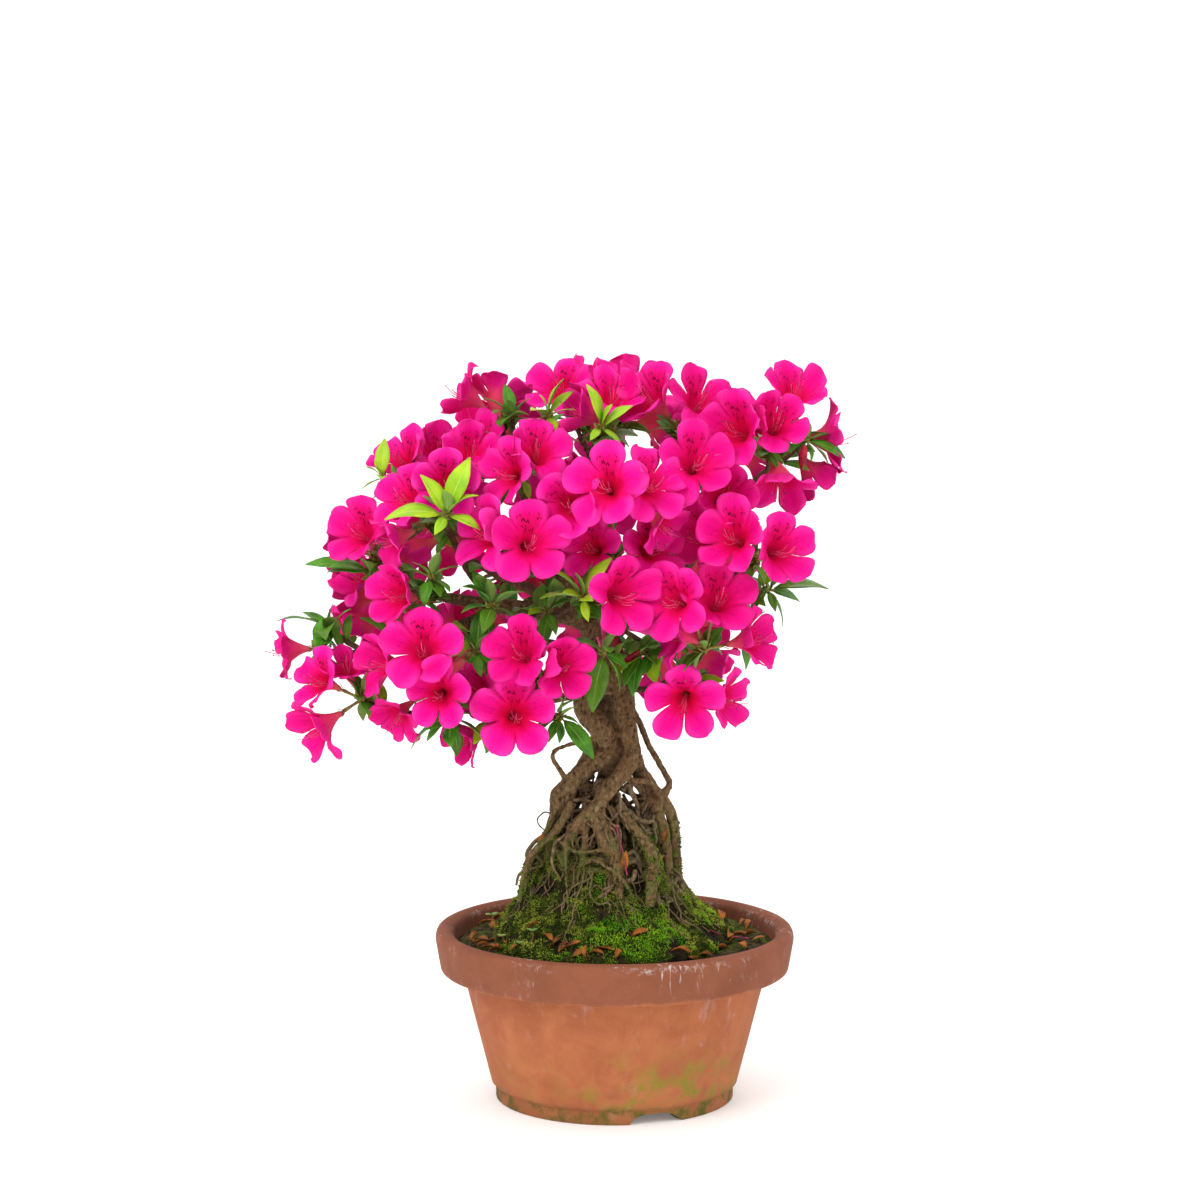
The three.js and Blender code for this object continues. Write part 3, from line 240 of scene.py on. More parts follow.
class Nodes:
    # a node tree that nodes are put into
    def __init__(self, tree):
        self.tree = tree

    def put(self, value, socket):  # a link or a plain value; a colour may be given as text
        if isinstance(value, Signal):
            self.tree.links.new(value.socket, socket)
        elif socket.type == "RGBA" and isinstance(value, str):
            socket.default_value = colour(value)
        else:
            socket.default_value = value

    def add(self, kind, inputs=None, output=0, **settings):
        made = self.tree.nodes.new(kind)
        for label, value in settings.items():
            setattr(made, label, value)
        for label, value in (inputs or {}).items():
            self.put(value, made.inputs[label])
        return Signal(self, made.outputs[output])

    def maths(self, kind, a, b=0):
        return self.add("ShaderNodeMath", {0: a, 1: b}, operation=kind)

    def vectorMaths(self, kind, a, b):
        return self.add("ShaderNodeVectorMath", {0: a, 1: b}, operation=kind)

    def mix(self, share, a, b):
        return self.add("ShaderNodeMix", {0: share, 6: a, 7: b}, 2, data_type="RGBA")

    def noise(self, place, scale, detail=4, roughness=0.55, distortion=0):
        return self.add("ShaderNodeTexNoise", {
            "Vector": place, "Scale": scale, "Detail": detail, "Roughness": roughness,
            "Distortion": distortion,
        })

    def cells(self, place, scale, feature="F1"):
        return self.add("ShaderNodeTexVoronoi", {"Vector": place, "Scale": scale}, feature=feature)

    def stretched(self, place, *scale):
        return self.add("ShaderNodeMapping", {"Vector": place, "Scale": scale})

    def parts(self, vector):
        x = self.add("ShaderNodeSeparateXYZ", {"Vector": vector})
        return x, x.out("Y"), x.out("Z")


def newTree(name, kind, inputs, outputs):
    # a tree with named sockets: what it is given, and where it gives out
    tree = bpy.data.node_groups.new(name, kind)
    for way, sockets in (("INPUT", inputs), ("OUTPUT", outputs)):
        for label, (sort, *value) in sockets.items():
            socket = tree.interface.new_socket(label, in_out=way, socket_type="NodeSocket" + sort)
            if value:
                socket.default_value = value[0]
    nodes, start, end = Nodes(tree), tree.nodes.new("NodeGroupInput"), tree.nodes.new("NodeGroupOutput")
    return nodes, {label: Signal(nodes, start.outputs[label]) for label in inputs}, end.inputs


def growingTree(name, **inputs):  # its last nodes make the copies real and give them their material
    geometry = {"Geometry": ("Geometry",)}
    sockets = {label.replace("_", " "): given for label, given in inputs.items()}
    nodes, given, end = newTree(name, "GeometryNodeTree", {**geometry, **sockets, "Material": ("Material",)},
                                geometry)

    def finish(grownThings):
        real = nodes.add("GeometryNodeRealizeInstances", {"Geometry": grownThings})
        painted = nodes.add("GeometryNodeSetMaterial", {"Geometry": real, "Material": given["Material"]})
        nodes.put(painted, end["Geometry"])
        return nodes.tree

    return nodes, given, finish


def named(nodes, name, kind="FLOAT"):
    return nodes.add("GeometryNodeInputNamedAttribute", {"Name": name}, "Attribute", data_type=kind)


def buildSetOnPoints():
    # puts one shape on every point, turned and stretched by the points' own attributes
    nodes, given, finish = growingTree("setOnPoints", Shape=("Object",))
    shape = nodes.add("GeometryNodeObjectInfo", {"Object": given["Shape"]}, "Geometry")
    rotation = nodes.add("FunctionNodeEulerToRotation", {"Euler": named(nodes, "turn", "FLOAT_VECTOR")})
    return finish(nodes.add("GeometryNodeInstanceOnPoints", {
        "Points": given["Geometry"], "Instance": shape, "Rotation": rotation,
        "Scale": named(nodes, "stretch", "FLOAT_VECTOR"),
    }))


def buildStrands():
    # turns chains of points into round strands, as thick as the points' own attribute says
    nodes, given, finish = growingTree("strands", Sides=("Int", 6))
    curve = nodes.add("GeometryNodeMeshToCurve", {"Mesh": given["Geometry"]})
    ring = nodes.add("GeometryNodeCurvePrimitiveCircle", {"Resolution": given["Sides"], "Radius": 1})
    body = nodes.add("GeometryNodeCurveToMesh", {
        "Curve": curve, "Profile Curve": ring, "Scale": named(nodes, "thickness"), "Fill Caps": True,
    })
    return finish(nodes.add("GeometryNodeSetShadeSmooth", {"Geometry": body}))


def buildTufts():
    # sows a shape over a surface, thicker where its own attribute is high, standing on the surface
    nodes, given, finish = growingTree(
        "tufts", Density=("Float", 100000.0), Seed=("Int", 1), Size=("Float", 0.003),
        Least_Size=("Float", 0.5), Lean=("Float", 0.5), Shape=("Object",), Amount=("String", "moss"))
    points = nodes.add("GeometryNodeDistributePointsOnFaces", {
        "Mesh": given["Geometry"], "Density": named(nodes, given["Amount"]) * given["Density"],
        "Seed": given["Seed"],
    })
    shape = nodes.add("GeometryNodeObjectInfo", {"Object": given["Shape"]}, "Geometry")
    lean = nodes.add("FunctionNodeRandomValue", {"Seed": 5, 0: (-1, -1, 0), 1: (1, 1, 6.28)},
                     data_type="FLOAT_VECTOR")
    spread = nodes.add("ShaderNodeCombineXYZ", {"X": given["Lean"], "Y": given["Lean"], "Z": 1})
    leaning = nodes.vectorMaths("MULTIPLY", lean, spread)
    leaning = nodes.add("FunctionNodeEulerToRotation", {"Euler": leaning})
    rotation = nodes.add("FunctionNodeRotateRotation", {
        "Rotation": points.out("Rotation"), "Rotate By": leaning,
    }, rotation_space="LOCAL")
    size = nodes.add("FunctionNodeRandomValue", {
        "Seed": 9, 2: given["Size"] * given["Least Size"], 3: given["Size"],
    }, 1, data_type="FLOAT")
    return finish(nodes.add("GeometryNodeInstanceOnPoints", {
        "Points": points, "Instance": shape, "Rotation": rotation, "Scale": size,
    }))


setOnPoints = buildSetOnPoints()
strands = buildStrands()
tufts = buildTufts()


def grown(name, source, tree, **values):  # runs a tree on a mesh and keeps the plain mesh that it makes
    carrier = objectOf(name, source)
    modifier = carrier.modifiers.new("grow", "NODES")
    modifier.node_group = tree
    for item in tree.interface.items_tree:
        label = item.name.replace(" ", "_")
        if item.item_type == "SOCKET" and item.in_out == "INPUT" and label in values:
            modifier[item.identifier] = values[label]
    return evaluatedMesh(carrier)


def copies(name, rows, shape, material):  # a shape at each row's place, with its turn and its size in mm
    mesh = meshOf(name, [place for place, turn, size in rows], [])
    setVectors(mesh, "turn", [turn for place, turn, size in rows])
    setVectors(mesh, "stretch", [Vector(size) * mm for place, turn, size in rows])
    return grown(name, mesh, setOnPoints, Shape=shape, Material=material)


def strandMesh(name, chains, sides, material):  # round strands: each chain is its points, radii and tone
    points, edges, radii, tones = [], [], [], []
    for route, thickness, tone in chains:
        first = len(points)
        points += route
        radii += [r * mm for r in thickness]
        tones += [tone] * len(route)
        edges += [(first + i, first + i + 1) for i in range(len(route) - 1)]
    mesh = bpy.data.meshes.new(name)
    mesh.from_pydata([placed(p) for p in points], edges, [])
    setFloats(mesh, "thickness", radii)
    setFloats(mesh, "tone", tones)
    return grown(name, mesh, strands, Sides=sides, Material=material)


print("trees for copies, strands and tufts built")


def buildMottle():
    # two colours in soft patches, with finer specks over them, and a height to go with them
    group, given, out = newTree("mottle", "ShaderNodeTree", {
        "Place": ("Vector",), "Light": ("Color", (0.8, 0.8, 0.8, 1)), "Dark": ("Color", (0.2, 0.2, 0.2, 1)),
        "Patch Scale": ("Float", 60.0), "Speck Scale": ("Float", 700.0), "Speck Amount": ("Float", 0.3),
    }, {"Color": ("Color",), "Height": ("Float",)})
    patches = group.noise(given["Place"], given["Patch Scale"], 6, 0.6, 0.4)
    specks = (group.noise(given["Place"], given["Speck Scale"], 3, 0.7) - 0.5) * given["Speck Amount"]
    share = (patches.step(0.32, 0.68) + specks).held()
    group.put(group.mix(share, given["Dark"], given["Light"]), out["Color"])
    group.put(patches + specks, out["Height"])
    return group.tree


def buildLeafVeins():
    # the midrib and the side veins of a leaf or a petal, from its own across and along
    group, given, out = newTree("veins", "ShaderNodeTree", {
        "Across": ("Float", 0.5), "Along": ("Float", 0.5), "Rib Width": ("Float", 0.06),
        "Vein Count": ("Float", 9.0), "Vein Lean": ("Float", 0.5), "Vein Width": ("Float", 0.12),
    }, {"Rib": ("Float",), "Veins": ("Float",)})
    side = abs(given["Across"] - 0.5)
    rib = 1 - side / (given["Rib Width"] * (1.15 - given["Along"]))
    wave = (given["Along"] - side * given["Vein Lean"]) * given["Vein Count"]
    veins = 1 - abs(wave.fraction() - 0.5) / given["Vein Width"]
    group.put(rib.held(), out["Rib"])
    group.put(veins.held(), out["Veins"])
    return group.tree


mottle = buildMottle()
leafVeins = buildLeafVeins()


class Look(Nodes):
    # a Principled material in the making, with its base colour so far
    def __init__(self, name, roughness, specular=0.5, **sockets):
        self.material = bpy.data.materials.new(name)
        self.material.use_nodes = True
        super().__init__(self.material.node_tree)
        self.shader = self.tree.nodes["Principled BSDF"].inputs
        for label, value in {"Roughness": roughness, "Specular_IOR_Level": specular, **sockets}.items():
            self.shader[label.replace("_", " ")].default_value = value
        self.place = self.add("ShaderNodeTexCoord", output="Object")

    def attribute(self, name):
        return self.add("ShaderNodeAttribute", output="Fac", attribute_name=name)

    def mottled(self, place, light, dark, patchScale, speckScale, speckAmount):
        made = self.add("ShaderNodeGroup", {
            "Place": place, "Light": light, "Dark": dark, "Patch Scale": patchScale,
            "Speck Scale": speckScale, "Speck Amount": speckAmount,
        }, "Color", node_tree=mottle)
        return made, made.out("Height")

    def veined(self, across, along, ribWidth=0.06):
        made = self.add("ShaderNodeGroup", {"Across": across, "Along": along, "Rib Width": ribWidth},
                        "Rib", node_tree=leafVeins)
        return made, made.out("Veins")

    def layer(self, share, tint):  # another colour over the base
        self.base = self.mix(share, self.base, tint)

    def finished(self, relief=None, strength=0.6, distance=0.0004):
        self.put(self.base, self.shader["Base Color"])
        if relief:
            bump = self.add("ShaderNodeBump", {"Height": relief, "Strength": strength, "Distance": distance})
            self.put(bump, self.shader["Normal"])
        return self.material


def terracottaLook():
    look, salt = Look("terracotta", 0.82, 0.3), "cac0c0"
    axis = look.add("ShaderNodeMapping", {"Vector": look.place, "Location": -potAxis})
    x, y, z = look.parts(axis)
    body, grain = look.mottled(axis, "b26c44", "a05a38", 36, 900, 0.6)
    band = look.mottled(axis, "8a5038", "7e4830", 40, 800, 0.5)[0]
    level = z + (look.noise(axis, 60) - 0.5) * 0.008
    look.base = look.mix(level.step(0.0755, 0.079), body, band)
    # drips and blooms of salt under the lip and down the side
    drips = look.noise(look.stretched(axis, 1, 1, 0.16), 95, 5, 0.65).step(0.56, 0.7)
    underLip = z.step(0.03, 0.074) * z.step(0.082, 0.0775)
    crust = look.noise(axis, 48, 8, 0.75).step(0.58, 0.72) * 0.4
    look.layer((underLip * drips * 0.5 + crust).held() * 0.42, salt)
    # green growth low on the right and round the foot
    growth = z.step(0.054, 0.016) * (x.step(-0.03, 0.008) * x.step(0.085, 0.05) + 0.25)
    patch = look.noise(axis, 70, 6, 0.65).step(0.42, 0.66)
    look.layer((growth * patch * 0.8).held(), "7c7c24")
    stains = look.noise(look.stretched(axis, 1, 1, 0.4), 45, 6, 0.7).step(0.56, 0.72)
    look.layer(stains * 0.22, "6c3c26")
    look.layer(level.step(0.013, 0.006) * patch.step(-0.6, 1) * 0.75, "3c4418")
    # thin runs of lime down the rim
    runs = look.noise(look.stretched(axis, 1, 1, 0.12), 300, 4, 0.6, 0.8).step(0.62, 0.68)
    runs = runs * z.step(0.08, 0.1)
    lip = look.noise(axis, 260, 8, 0.75, 0.8).step(0.5, 0.62) * z.step(0.094, 0.0972) * z.step(0.1, 0.0985)
    lime = (runs + lip * 0.7) * look.noise(axis, 26, 3).step(0.42, 0.58)
    look.layer(lime.held() * 0.7, salt)
    look.put(0.74 + grain * 0.22, look.shader["Roughness"])
    return look.finished(grain + look.cells(axis, 420).step(0.05, 0.3) * 0.25, 0.7, 0.0006)


def soilEarthLook():
    look = Look("soil", 0.95, 0.15)
    look.base, height = look.mottled(look.place, "54422a", "1a120b", 160, 1500, 0.9)
    greens = look.mottled(look.place, "5e7018", "1c2608", 320, 1900, 0.9)[0]
    look.layer(look.noise(look.place, 60, 5).step(0.4, 0.56, 0, 0.85), greens)
    return look.finished(height, 0.9, 0.001)


def mossGroundLook():
    look = Look("mossGround", 0.95, 0.15)
    look.base, height = look.mottled(look.place, "3c2d1c", "150f08", 140, 1200, 0.8)
    greens, fine = look.mottled(look.place, "3e5210", "141d05", 300, 1900, 0.9)
    look.layer((look.attribute("moss") + (fine - 0.5)).step(0.25, 0.6), greens)
    return look.finished(height + fine, 0.9, 0.0012)


def mossTuftLook():
    look = Look("mossTuft", 0.8, 0.15)
    dull = look.mottled(look.place, "c0c848", "5a6a18", 130, 1100, 1)[0]
    freshAndLit = look.mottled(look.place, "a8d828", "4ea408", 90, 1100, 1)[0]
    # darker moss in the dips and brighter on the dome tops and low in front: partly young moss, partly
    # painted shade and painted highlight
    bright = look.attribute("freshAndLit")
    look.base = look.mix(bright.step(0.08, 0.42), "36420e", dull)
    look.layer(bright.step(0.45, 0.8), freshAndLit)
    # each blade darkens towards its foot: painted shade between the blades
    look.base = look.mix(look.attribute("rise").step(0.1, 0.85), "1c2806", look.base)
    return look.finished()


def barkLook(name, light, dark, crest, green):
    # weathered bark: fissures that follow the grain, darkened partly as their own colour and partly as
    # painted shade, painted shade in the hollows between strands, a painted highlight on the raised crests,
    # and a green film near the ground
    look = Look(name, 0.8, 0.2)
    place, ridge = look.place, look.attribute("ridge")
    look.base, height = look.mottled(look.stretched(place, 1, 1, 0.7), light, dark, 520, 2200, 1.2)
    # paler on the raised crests: painted highlight
    look.layer(ridge.step(0.62, 1, 0, 0.45), crest)
    # near black where the ridge is low: partly the bark's own dark fissures, partly painted shade in the
    # hollows between strands
    look.layer(ridge.step(0.4, 0, 0, 0.8), "1e150b")
    look.layer(look.noise(place, 48, 3).step(0.42, 0.66, 0, 0.45), "6e4732")
    film = look.parts(place)[2].step(0.188, 0.14) * look.noise(place, 65, 5).step(0.42, 0.58)
    look.layer(film * green, "666e34")
    away = look.vectorMaths("SUBTRACT", look.noise(place, 150, 2, 0.5).out("Color"), (0.5, 0.5, 0.5))
    away = look.vectorMaths("MULTIPLY", away, (0.004, 0.004, 0.004))
    bent = look.vectorMaths("ADD", look.stretched(place, 1, 1, 0.35), away)
    flakes = look.cells(bent, 360, "DISTANCE_TO_EDGE")
    look.layer(flakes.step(0.09, 0, 0, 0.3), "3a2a1a")
    return look.finished(height + flakes.step(0, 0.12) * 0.35, 0.9, 0.0009)


def petalLook(name, tips, middle, throat, deep, spotted):
    # across and along come from the petal's own map; tone and blotch from the bloom
    look = Look(name, 0.62, 0.06)
    uv = look.add("ShaderNodeUVMap", uv_map="petalUv")
    x, along, z = look.parts(uv)
    across = x.fraction()
    edge = abs(across - 0.5)
    look.base = look.mix(along.step(0.32, 0.62), throat, middle)
    # the foot of the funnel in the deep colour, which on the face is lightened to stand in for light shining
    # through the petals: partly the red throat, partly painted light
    look.layer(along.step(0.3, 0), deep)
    # paler towards the margins and the tips: partly the petals' own paler rim, partly painted highlight
    toEdge = edge.step(0.1, 0.5) * along.step(0.42, 0.75)
    look.layer((toEdge * 0.6 + along.step(0.72, 1) * 0.3).held(), tips)
    look.layer(look.attribute("tone").step(0, 1, 0, 0.4), "dc0670")
    streaks = look.noise(look.stretched(uv, 44, 2.4, 1), 1, 3, 0.5)
    look.layer(streaks.step(0.5, 0.75, 0, 0.42), "b8005e")
    look.layer(streaks.step(0.45, 0.25, 0, 0.3), tips)
    if spotted:
        look.layer(look.veined(across, along, 0.05)[0] * 0.5, "c20060")
        patch = along.step(0.3, 0.4) * along.step(0.8, 0.62) * edge.step(0.4, 0.22)
        patch = patch * look.attribute("blotch")
        look.layer(patch * 0.6, "c60044")
        look.layer(look.cells(look.stretched(uv, 17, 13, 1), 1).step(0.4, 0.28) * patch, "4c001e")
    return look.finished(streaks * 2 + look.noise(look.place, 1500, 2))


def leafLook(name, light, dark, rib, roughness, coat, tinge):
    look = Look(name, roughness, 0.22, Coat_Weight=coat, Coat_Roughness=0.3)
    across, along, z = look.parts(look.add("ShaderNodeUVMap", uv_map="leafUv"))
    look.base, height = look.mottled(look.place, light, dark, 75, 1500, 0.3)
    look.layer(look.attribute("tone").step(0.35, 1, 0, 0.6), tinge)
    midrib, veins = look.veined(across, along)
    look.layer(veins * 0.16, rib)
    look.layer(midrib * 0.85, rib)
    return look.finished(height * 0.3 - (midrib + veins * 0.5))


def plainLook(name, light, dark, scale, roughness):  # for small pieces
    look = Look(name, roughness, 0.25)
    look.base, height = look.mottled(look.place, light, dark, scale, scale * 8, 0.6)
    return look.finished(height, 0.5)


terracotta = terracottaLook()
soilEarth = soilEarthLook()
mossGround = mossGroundLook()
mossTuft = mossTuftLook()
# the third colour of each bark is the painted highlight on its crests
bark = barkLook("bark", "907450", "715638", "b8a078", 0.9)
twigBark = barkLook("twigBark", "7a5c42", "4e3a26", "9c8460", 0.1)
rootBark = barkLook("rootBark", "a08868", "5c4832", "ccb894", 0.5)
# the face's deep colour is lightened: painted light inside the funnel
petalFace = petalLook("petalFace", "fc40b0", "ee068c", "e4084a", "e83048", True)
petalBack = petalLook("petalBack", "f840ac", "e81486", "ea4a66", "dc8068", False)
leafOld = leafLook("leafOld", "549a20", "2a5e10", "90b850", 0.38, 0.08, "5c7a1c")
leafYoung = leafLook("leafYoung", "b0d022", "7cb414", "d6e468", 0.4, 0.05, "9cc020")
leafBack = leafLook("leafBack", "86a850", "5e8638", "a8c070", 0.6, 0.0, "7a9a42")
filament = plainLook("filament", "f06a98", "c82860", 300, 0.45)
anther = plainLook("anther", "4a2830", "220c14", 900, 0.7)
stalk = plainLook("stalk", "8a8f42", "7a4c34", 260, 0.6)
budScale = plainLook("budScale", "9a9a3c", "5c4620", 420, 0.55)
budSkin = plainLook("bud", "c4103c", "6e0820", 260, 0.45)
dryLeaf = plainLook("litter", "b06a26", "4a260e", 120, 0.75)
seedling = plainLook("seedling", "869c44", "4e8246", 90, 0.6)
redStalk = plainLook("redStalk", "b83a62", "8a2444", 200, 0.5)
print("materials built")


# each limb: its name, its radii from start to end, and the points that it runs through, in mm
roots = [
    ("left fold", (6.5, 5.2, 6.4, 7.6, 6.2, 4.2), [(-6, -2, 256), (-17, -7, 243), (-17, -11, 230),
     (-6, -12, 218), (-1, -2, 205), (-2, 10, 190)]),
    ("front strand", (7.4, 7, 6.6, 5.4, 5.2, 5, 4.8, 4.2, 3.6, 3, 2.6), [(-3, -1, 256), (4, -6, 243),
     (5, -10, 230), (8, -15, 217), (10, -17, 206), (5, -20, 196), (-4, -25, 186), (-10, -28, 177),
     (-22, -29, 166), (-28, -28, 150), (-30, -30, 137)]),
    ("big left", (6.5, 6.4, 5.6, 5, 4.6, 4, 3, 2.6), [(7, -4, 215), (-1, -9, 205), (-14, -14, 199),
     (-24, -18, 190), (-29, -18, 180), (-31, -18, 169), (-36, -20, 156), (-40, -22, 140)]),
    ("inner bow", (3.8, 3.4, 3.2, 3, 2.8), [(-26, -16, 189), (-15, -10, 184), (-5, -4, 179),
     (4, 2, 170), (14, 8, 150)]),
    ("right bow", (2.4, 2, 1.8, 1.8, 2, 1.8, 1.6), [(5, -1, 236), (14, 0, 222), (20, -2, 208),
     (27, -4, 196), (32, -6, 185), (24, -8, 179), (12, -12, 172)]),
    ("right stem", (3.4, 2.8, 2.8, 3.2, 3.4, 3, 3), [(9, -6, 202), (17, -8, 193), (23, -8, 184),
     (30, -8, 175), (34, -8, 163), (35, -8, 150), (37, -7, 132)]),
    ("left loop", (1.5, 1.4, 1.4, 1.6), [(-6, -12, 214), (-22, -16, 212), (-36, -18, 206),
     (-29, -18, 192)]),
    ("left outer", (2.6, 2.2, 2, 2, 1.8, 1.6), [(-28, -18, 189), (-35, -15, 182), (-36, -13, 168),
     (-39, -15, 155), (-48, -15, 143), (-52, -12, 128)]),
    ("front green", (3, 2.8, 2.6, 2.4), [(-10, -26, 178), (-5, -31, 165), (1, -34, 152),
     (3, -36, 136)]),
    ("front right", (2.8, 2.6, 2.6, 2.8, 3.2), [(-2, -10, 178), (5, -24, 169), (15, -31, 160),
     (23, -31, 150), (27, -30, 126)]),
    ("right green", (3, 2.8, 2.6), [(20, -8, 180), (28, -16, 163), (32, -20, 128)]),
    ("middle drop", (2.2, 1.9, 1.9), [(14, -8, 203), (17, 0, 184), (10, 9, 150)]),
    ("front left", (2.4, 2.2, 2), [(-18, -28, 171), (-17, -33, 155), (-21, -37, 136)]),
    ("left thin", (1.6, 1.4, 1.3, 1.2), [(-31, -20, 168), (-34, -28, 154), (-28, -36, 140),
     (-24, -42, 124)]),
    ("cross thin", (1.5, 1.4, 1.4), [(-28, -35, 142), (-6, -39, 141), (8, -40, 128)]),
    ("back left", (5, 4.2, 3.4, 2.8), [(-8, 4, 214), (-20, 12, 190), (-30, 18, 165), (-36, 22, 138)]),
    ("back right", (4.6, 4, 3.2, 2.6), [(4, 2, 214), (14, 12, 190), (22, 20, 165), (29, 26, 128)]),
    ("back middle", (4, 3.4, 3, 2.6), [(-3, 8, 200), (-8, 20, 178), (-4, 28, 158), (-8, 36, 134)]),
    ("back cross", (2.4, 2, 2), [(-22, 15, 186), (-2, 24, 172), (16, 24, 150)]),
]
branches = [
    ("trunk", (10.5, 10, 9.5, 8.8), [(-2, -4, 238), (-3, -2, 249), (-7, 0, 264), (-13, 0, 281)]),
    ("left", (7.4, 6.4, 5.2, 4.2, 3.2, 2.2), [(-13, 0, 280), (-30, -8, 287), (-48, -14, 289),
     (-66, -22, 292), (-86, -28, 296), (-108, -30, 300)]),
    ("far left", (2.6, 2.2, 2, 1.7), [(-66, -22, 291), (-92, -25, 281), (-120, -24, 270),
     (-144, -22, 266)]),
    ("left rising", (3.2, 2.4, 1.9), [(-66, -22, 292), (-82, -30, 312), (-96, -26, 338)]),
    ("low left", (3, 2.4, 2.1, 1.9, 1.6), [(-8, -4, 243), (-29, -18, 239), (-62, -32, 236),
     (-98, -38, 233), (-126, -40, 233)]),
    ("left leader", (6, 4.8, 3.8, 2.8, 2), [(-13, 0, 281), (-28, 0, 301), (-39, -4, 325),
     (-50, -8, 350), (-58, -10, 376)]),
    ("leader", (6.6, 5.2, 4, 3, 2), [(-13, 0, 281), (-10, 2, 306), (-6, -2, 334), (-10, -6, 360),
     (-15, -8, 380)]),
    ("right", (5.6, 4.6, 3.8, 2.8, 2.2, 1.8), [(-8, 0, 264), (12, 2, 288), (31, -4, 311),
     (50, -10, 333), (70, -14, 354), (88, -12, 370)]),
    ("right side", (2.4, 2, 1.7), [(30, -4, 310), (48, -16, 308), (62, -26, 306)]),
    ("right low", (2.1, 1.8, 1.6), [(2, -6, 244), (18, -16, 243), (38, -26, 253)]),
    ("right thin", (1.9, 1.6), [(-3, -4, 262), (26, -26, 268)]),
    ("back left", (4.2, 3.2, 2.4, 1.8), [(-26, -4, 286), (-48, 20, 296), (-74, 38, 306),
     (-92, 42, 316)]),
    ("back", (4.4, 3.4, 2.6, 2), [(-11, 0, 292), (-12, 24, 304), (-18, 44, 320), (-22, 52, 340)]),
    ("back right", (3.8, 3, 2.2, 1.8), [(4, 2, 280), (22, 24, 290), (42, 40, 306), (56, 42, 326)]),
    ("back low", (3, 2.4, 1.9), [(-8, 2, 262), (-24, 28, 262), (-48, 42, 264)]),
]

# each truss: its place, its bud cup, and its blooms (mouth x, y, z, azimuth, elevation, size)
frontTrusses = [
    ("low_mid", (-41, -62, 255), [(-53, -84, 274, -20, 22, 0.92), (-30, -86, 266, 18, 8, 0.85)]),
    ("low_front", (-65, -48, 229), [(-56, -80, 238, 0, 10, 1.02), (-78, -50, 247, -45, 20, 0.75),
     (-84, -45, 219, -60, -15, 0.75)]),
    ("heart_low", (-11, -75, 301), [(4, -94, 307, 35, 5, 1.0)]),
    ("heart_left", (-57, -72, 333), [(-47, -100, 337, 8, 20, 1.0), (-71, -88, 341, -45, 20, 0.95)]),
    ("mid_right", (-6, -65, 356), [(-5, -100, 368, -20, 15, 1.0), (-25, -92, 357, -10, 10, 0.9),
     (19, -92, 368, 30, 18, 0.95), (27, -75, 344, 55, -35, 0.75)]),
    ("right_mid", (77, -50, 321), [(65, -80, 338, -25, 18, 0.98), (92, -76, 330, 30, 10, 0.92)]),
    ("right_low", (51, -55, 272), [(57, -78, 303, 10, 30, 0.95), (35, -85, 303, -30, 5, 0.95),
     (34, -62, 281, -72, 5, 0.82), (77, -60, 278, 60, 15, 0.85)]),
    ("right_hang", (44, -20, 244), [(39, -52, 241, -5, -15, 0.95), (65, -12, 237, 60, -10, 0.8)]),
    ("low_left_front", (-96, -58, 249), [(-107, -84, 276, -5, 22, 1.0), (-98, -88, 251, -12, 2, 0.85),
     (-132, -62, 264, -65, 0, 0.85), (-121, -45, 236, -35, -40, 0.75)]),
    ("left_inner", (-106, -50, 299), [(-122, -68, 304, -40, 10, 0.88)]),
    ("low_left", (-144, -40, 241), [(-168, -55, 227, -55, -25, 0.9), (-168, -48, 253, -50, 20, 0.8),
     (-152, -40, 259, -10, 55, 0.65)]),
    ("far_left", (-169, -25, 268), [(-188, -25, 267, -80, -5, 0.75)]),
    ("left_mid", (-134, -28, 319), [(-144, -45, 337, -35, 25, 0.9), (-152, 0, 325, -130, 15, 0.85)]),
    ("left_shoulder", (-105, -50, 342), [(-117, -62, 358, -40, 30, 0.85),
     (-125, -62, 335, -60, -12, 0.8)]),
    ("left_front", (-92, -55, 352), [(-94, -80, 367, -5, 15, 0.88), (-81, -45, 381, 10, 40, 0.85)]),
    ("left_top", (-110, -2, 362), [(-122, -12, 376, -45, 45, 0.9), (-100, -5, 380, 15, 55, 0.85),
     (-109, 22, 371, 165, 40, 0.85)]),
    ("mid_left", (-60, -48, 368), [(-59, -78, 373, -45, 15, 0.85), (-44, -68, 384, 0, 35, 0.88),
     (-78, -28, 387, -35, 45, 0.85)]),
    ("right_in", (55, -38, 352), [(45, -76, 379, 20, 22, 0.98), (60, -58, 358, 10, 25, 0.85),
     (48, -50, 336, -40, -5, 0.85)]),
    ("far_right_front", (86, -38, 382), [(67, -60, 396, -30, 20, 0.98), (90, -58, 401, 10, 30, 0.88),
     (92, -50, 365, 0, -55, 0.95)]),
    ("crest_right", (36, -32, 393), [(20, -42, 413, -45, 35, 0.92), (48, -38, 411, 30, 40, 0.92)]),
    ("crest_front", (-5, -38, 393), [(-1, -38, 414, 25, 55, 0.88), (-19, -50, 405, -75, 25, 0.88)]),
    ("far_right", (103, -5, 392), [(124, -3, 387, 85, 5, 0.92), (103, -6, 414, 20, 55, 0.9),
     (114, -8, 367, 100, -45, 0.8)]),
    ("crest_mid", (-23, 0, 394), [(-31, -8, 416, -25, 40, 0.9), (-14, 8, 420, 40, 65, 0.88)]),
    ("crest_left", (-65, -12, 395), [(-86, -12, 412, -85, 25, 0.78), (-66, -2, 411, 160, 45, 0.85)]),
    ("heart", (-2, -42, 321), [(-13, -70, 331, -20, 15, 0.8), (21, -66, 330, 35, 15, 0.88)]),
]
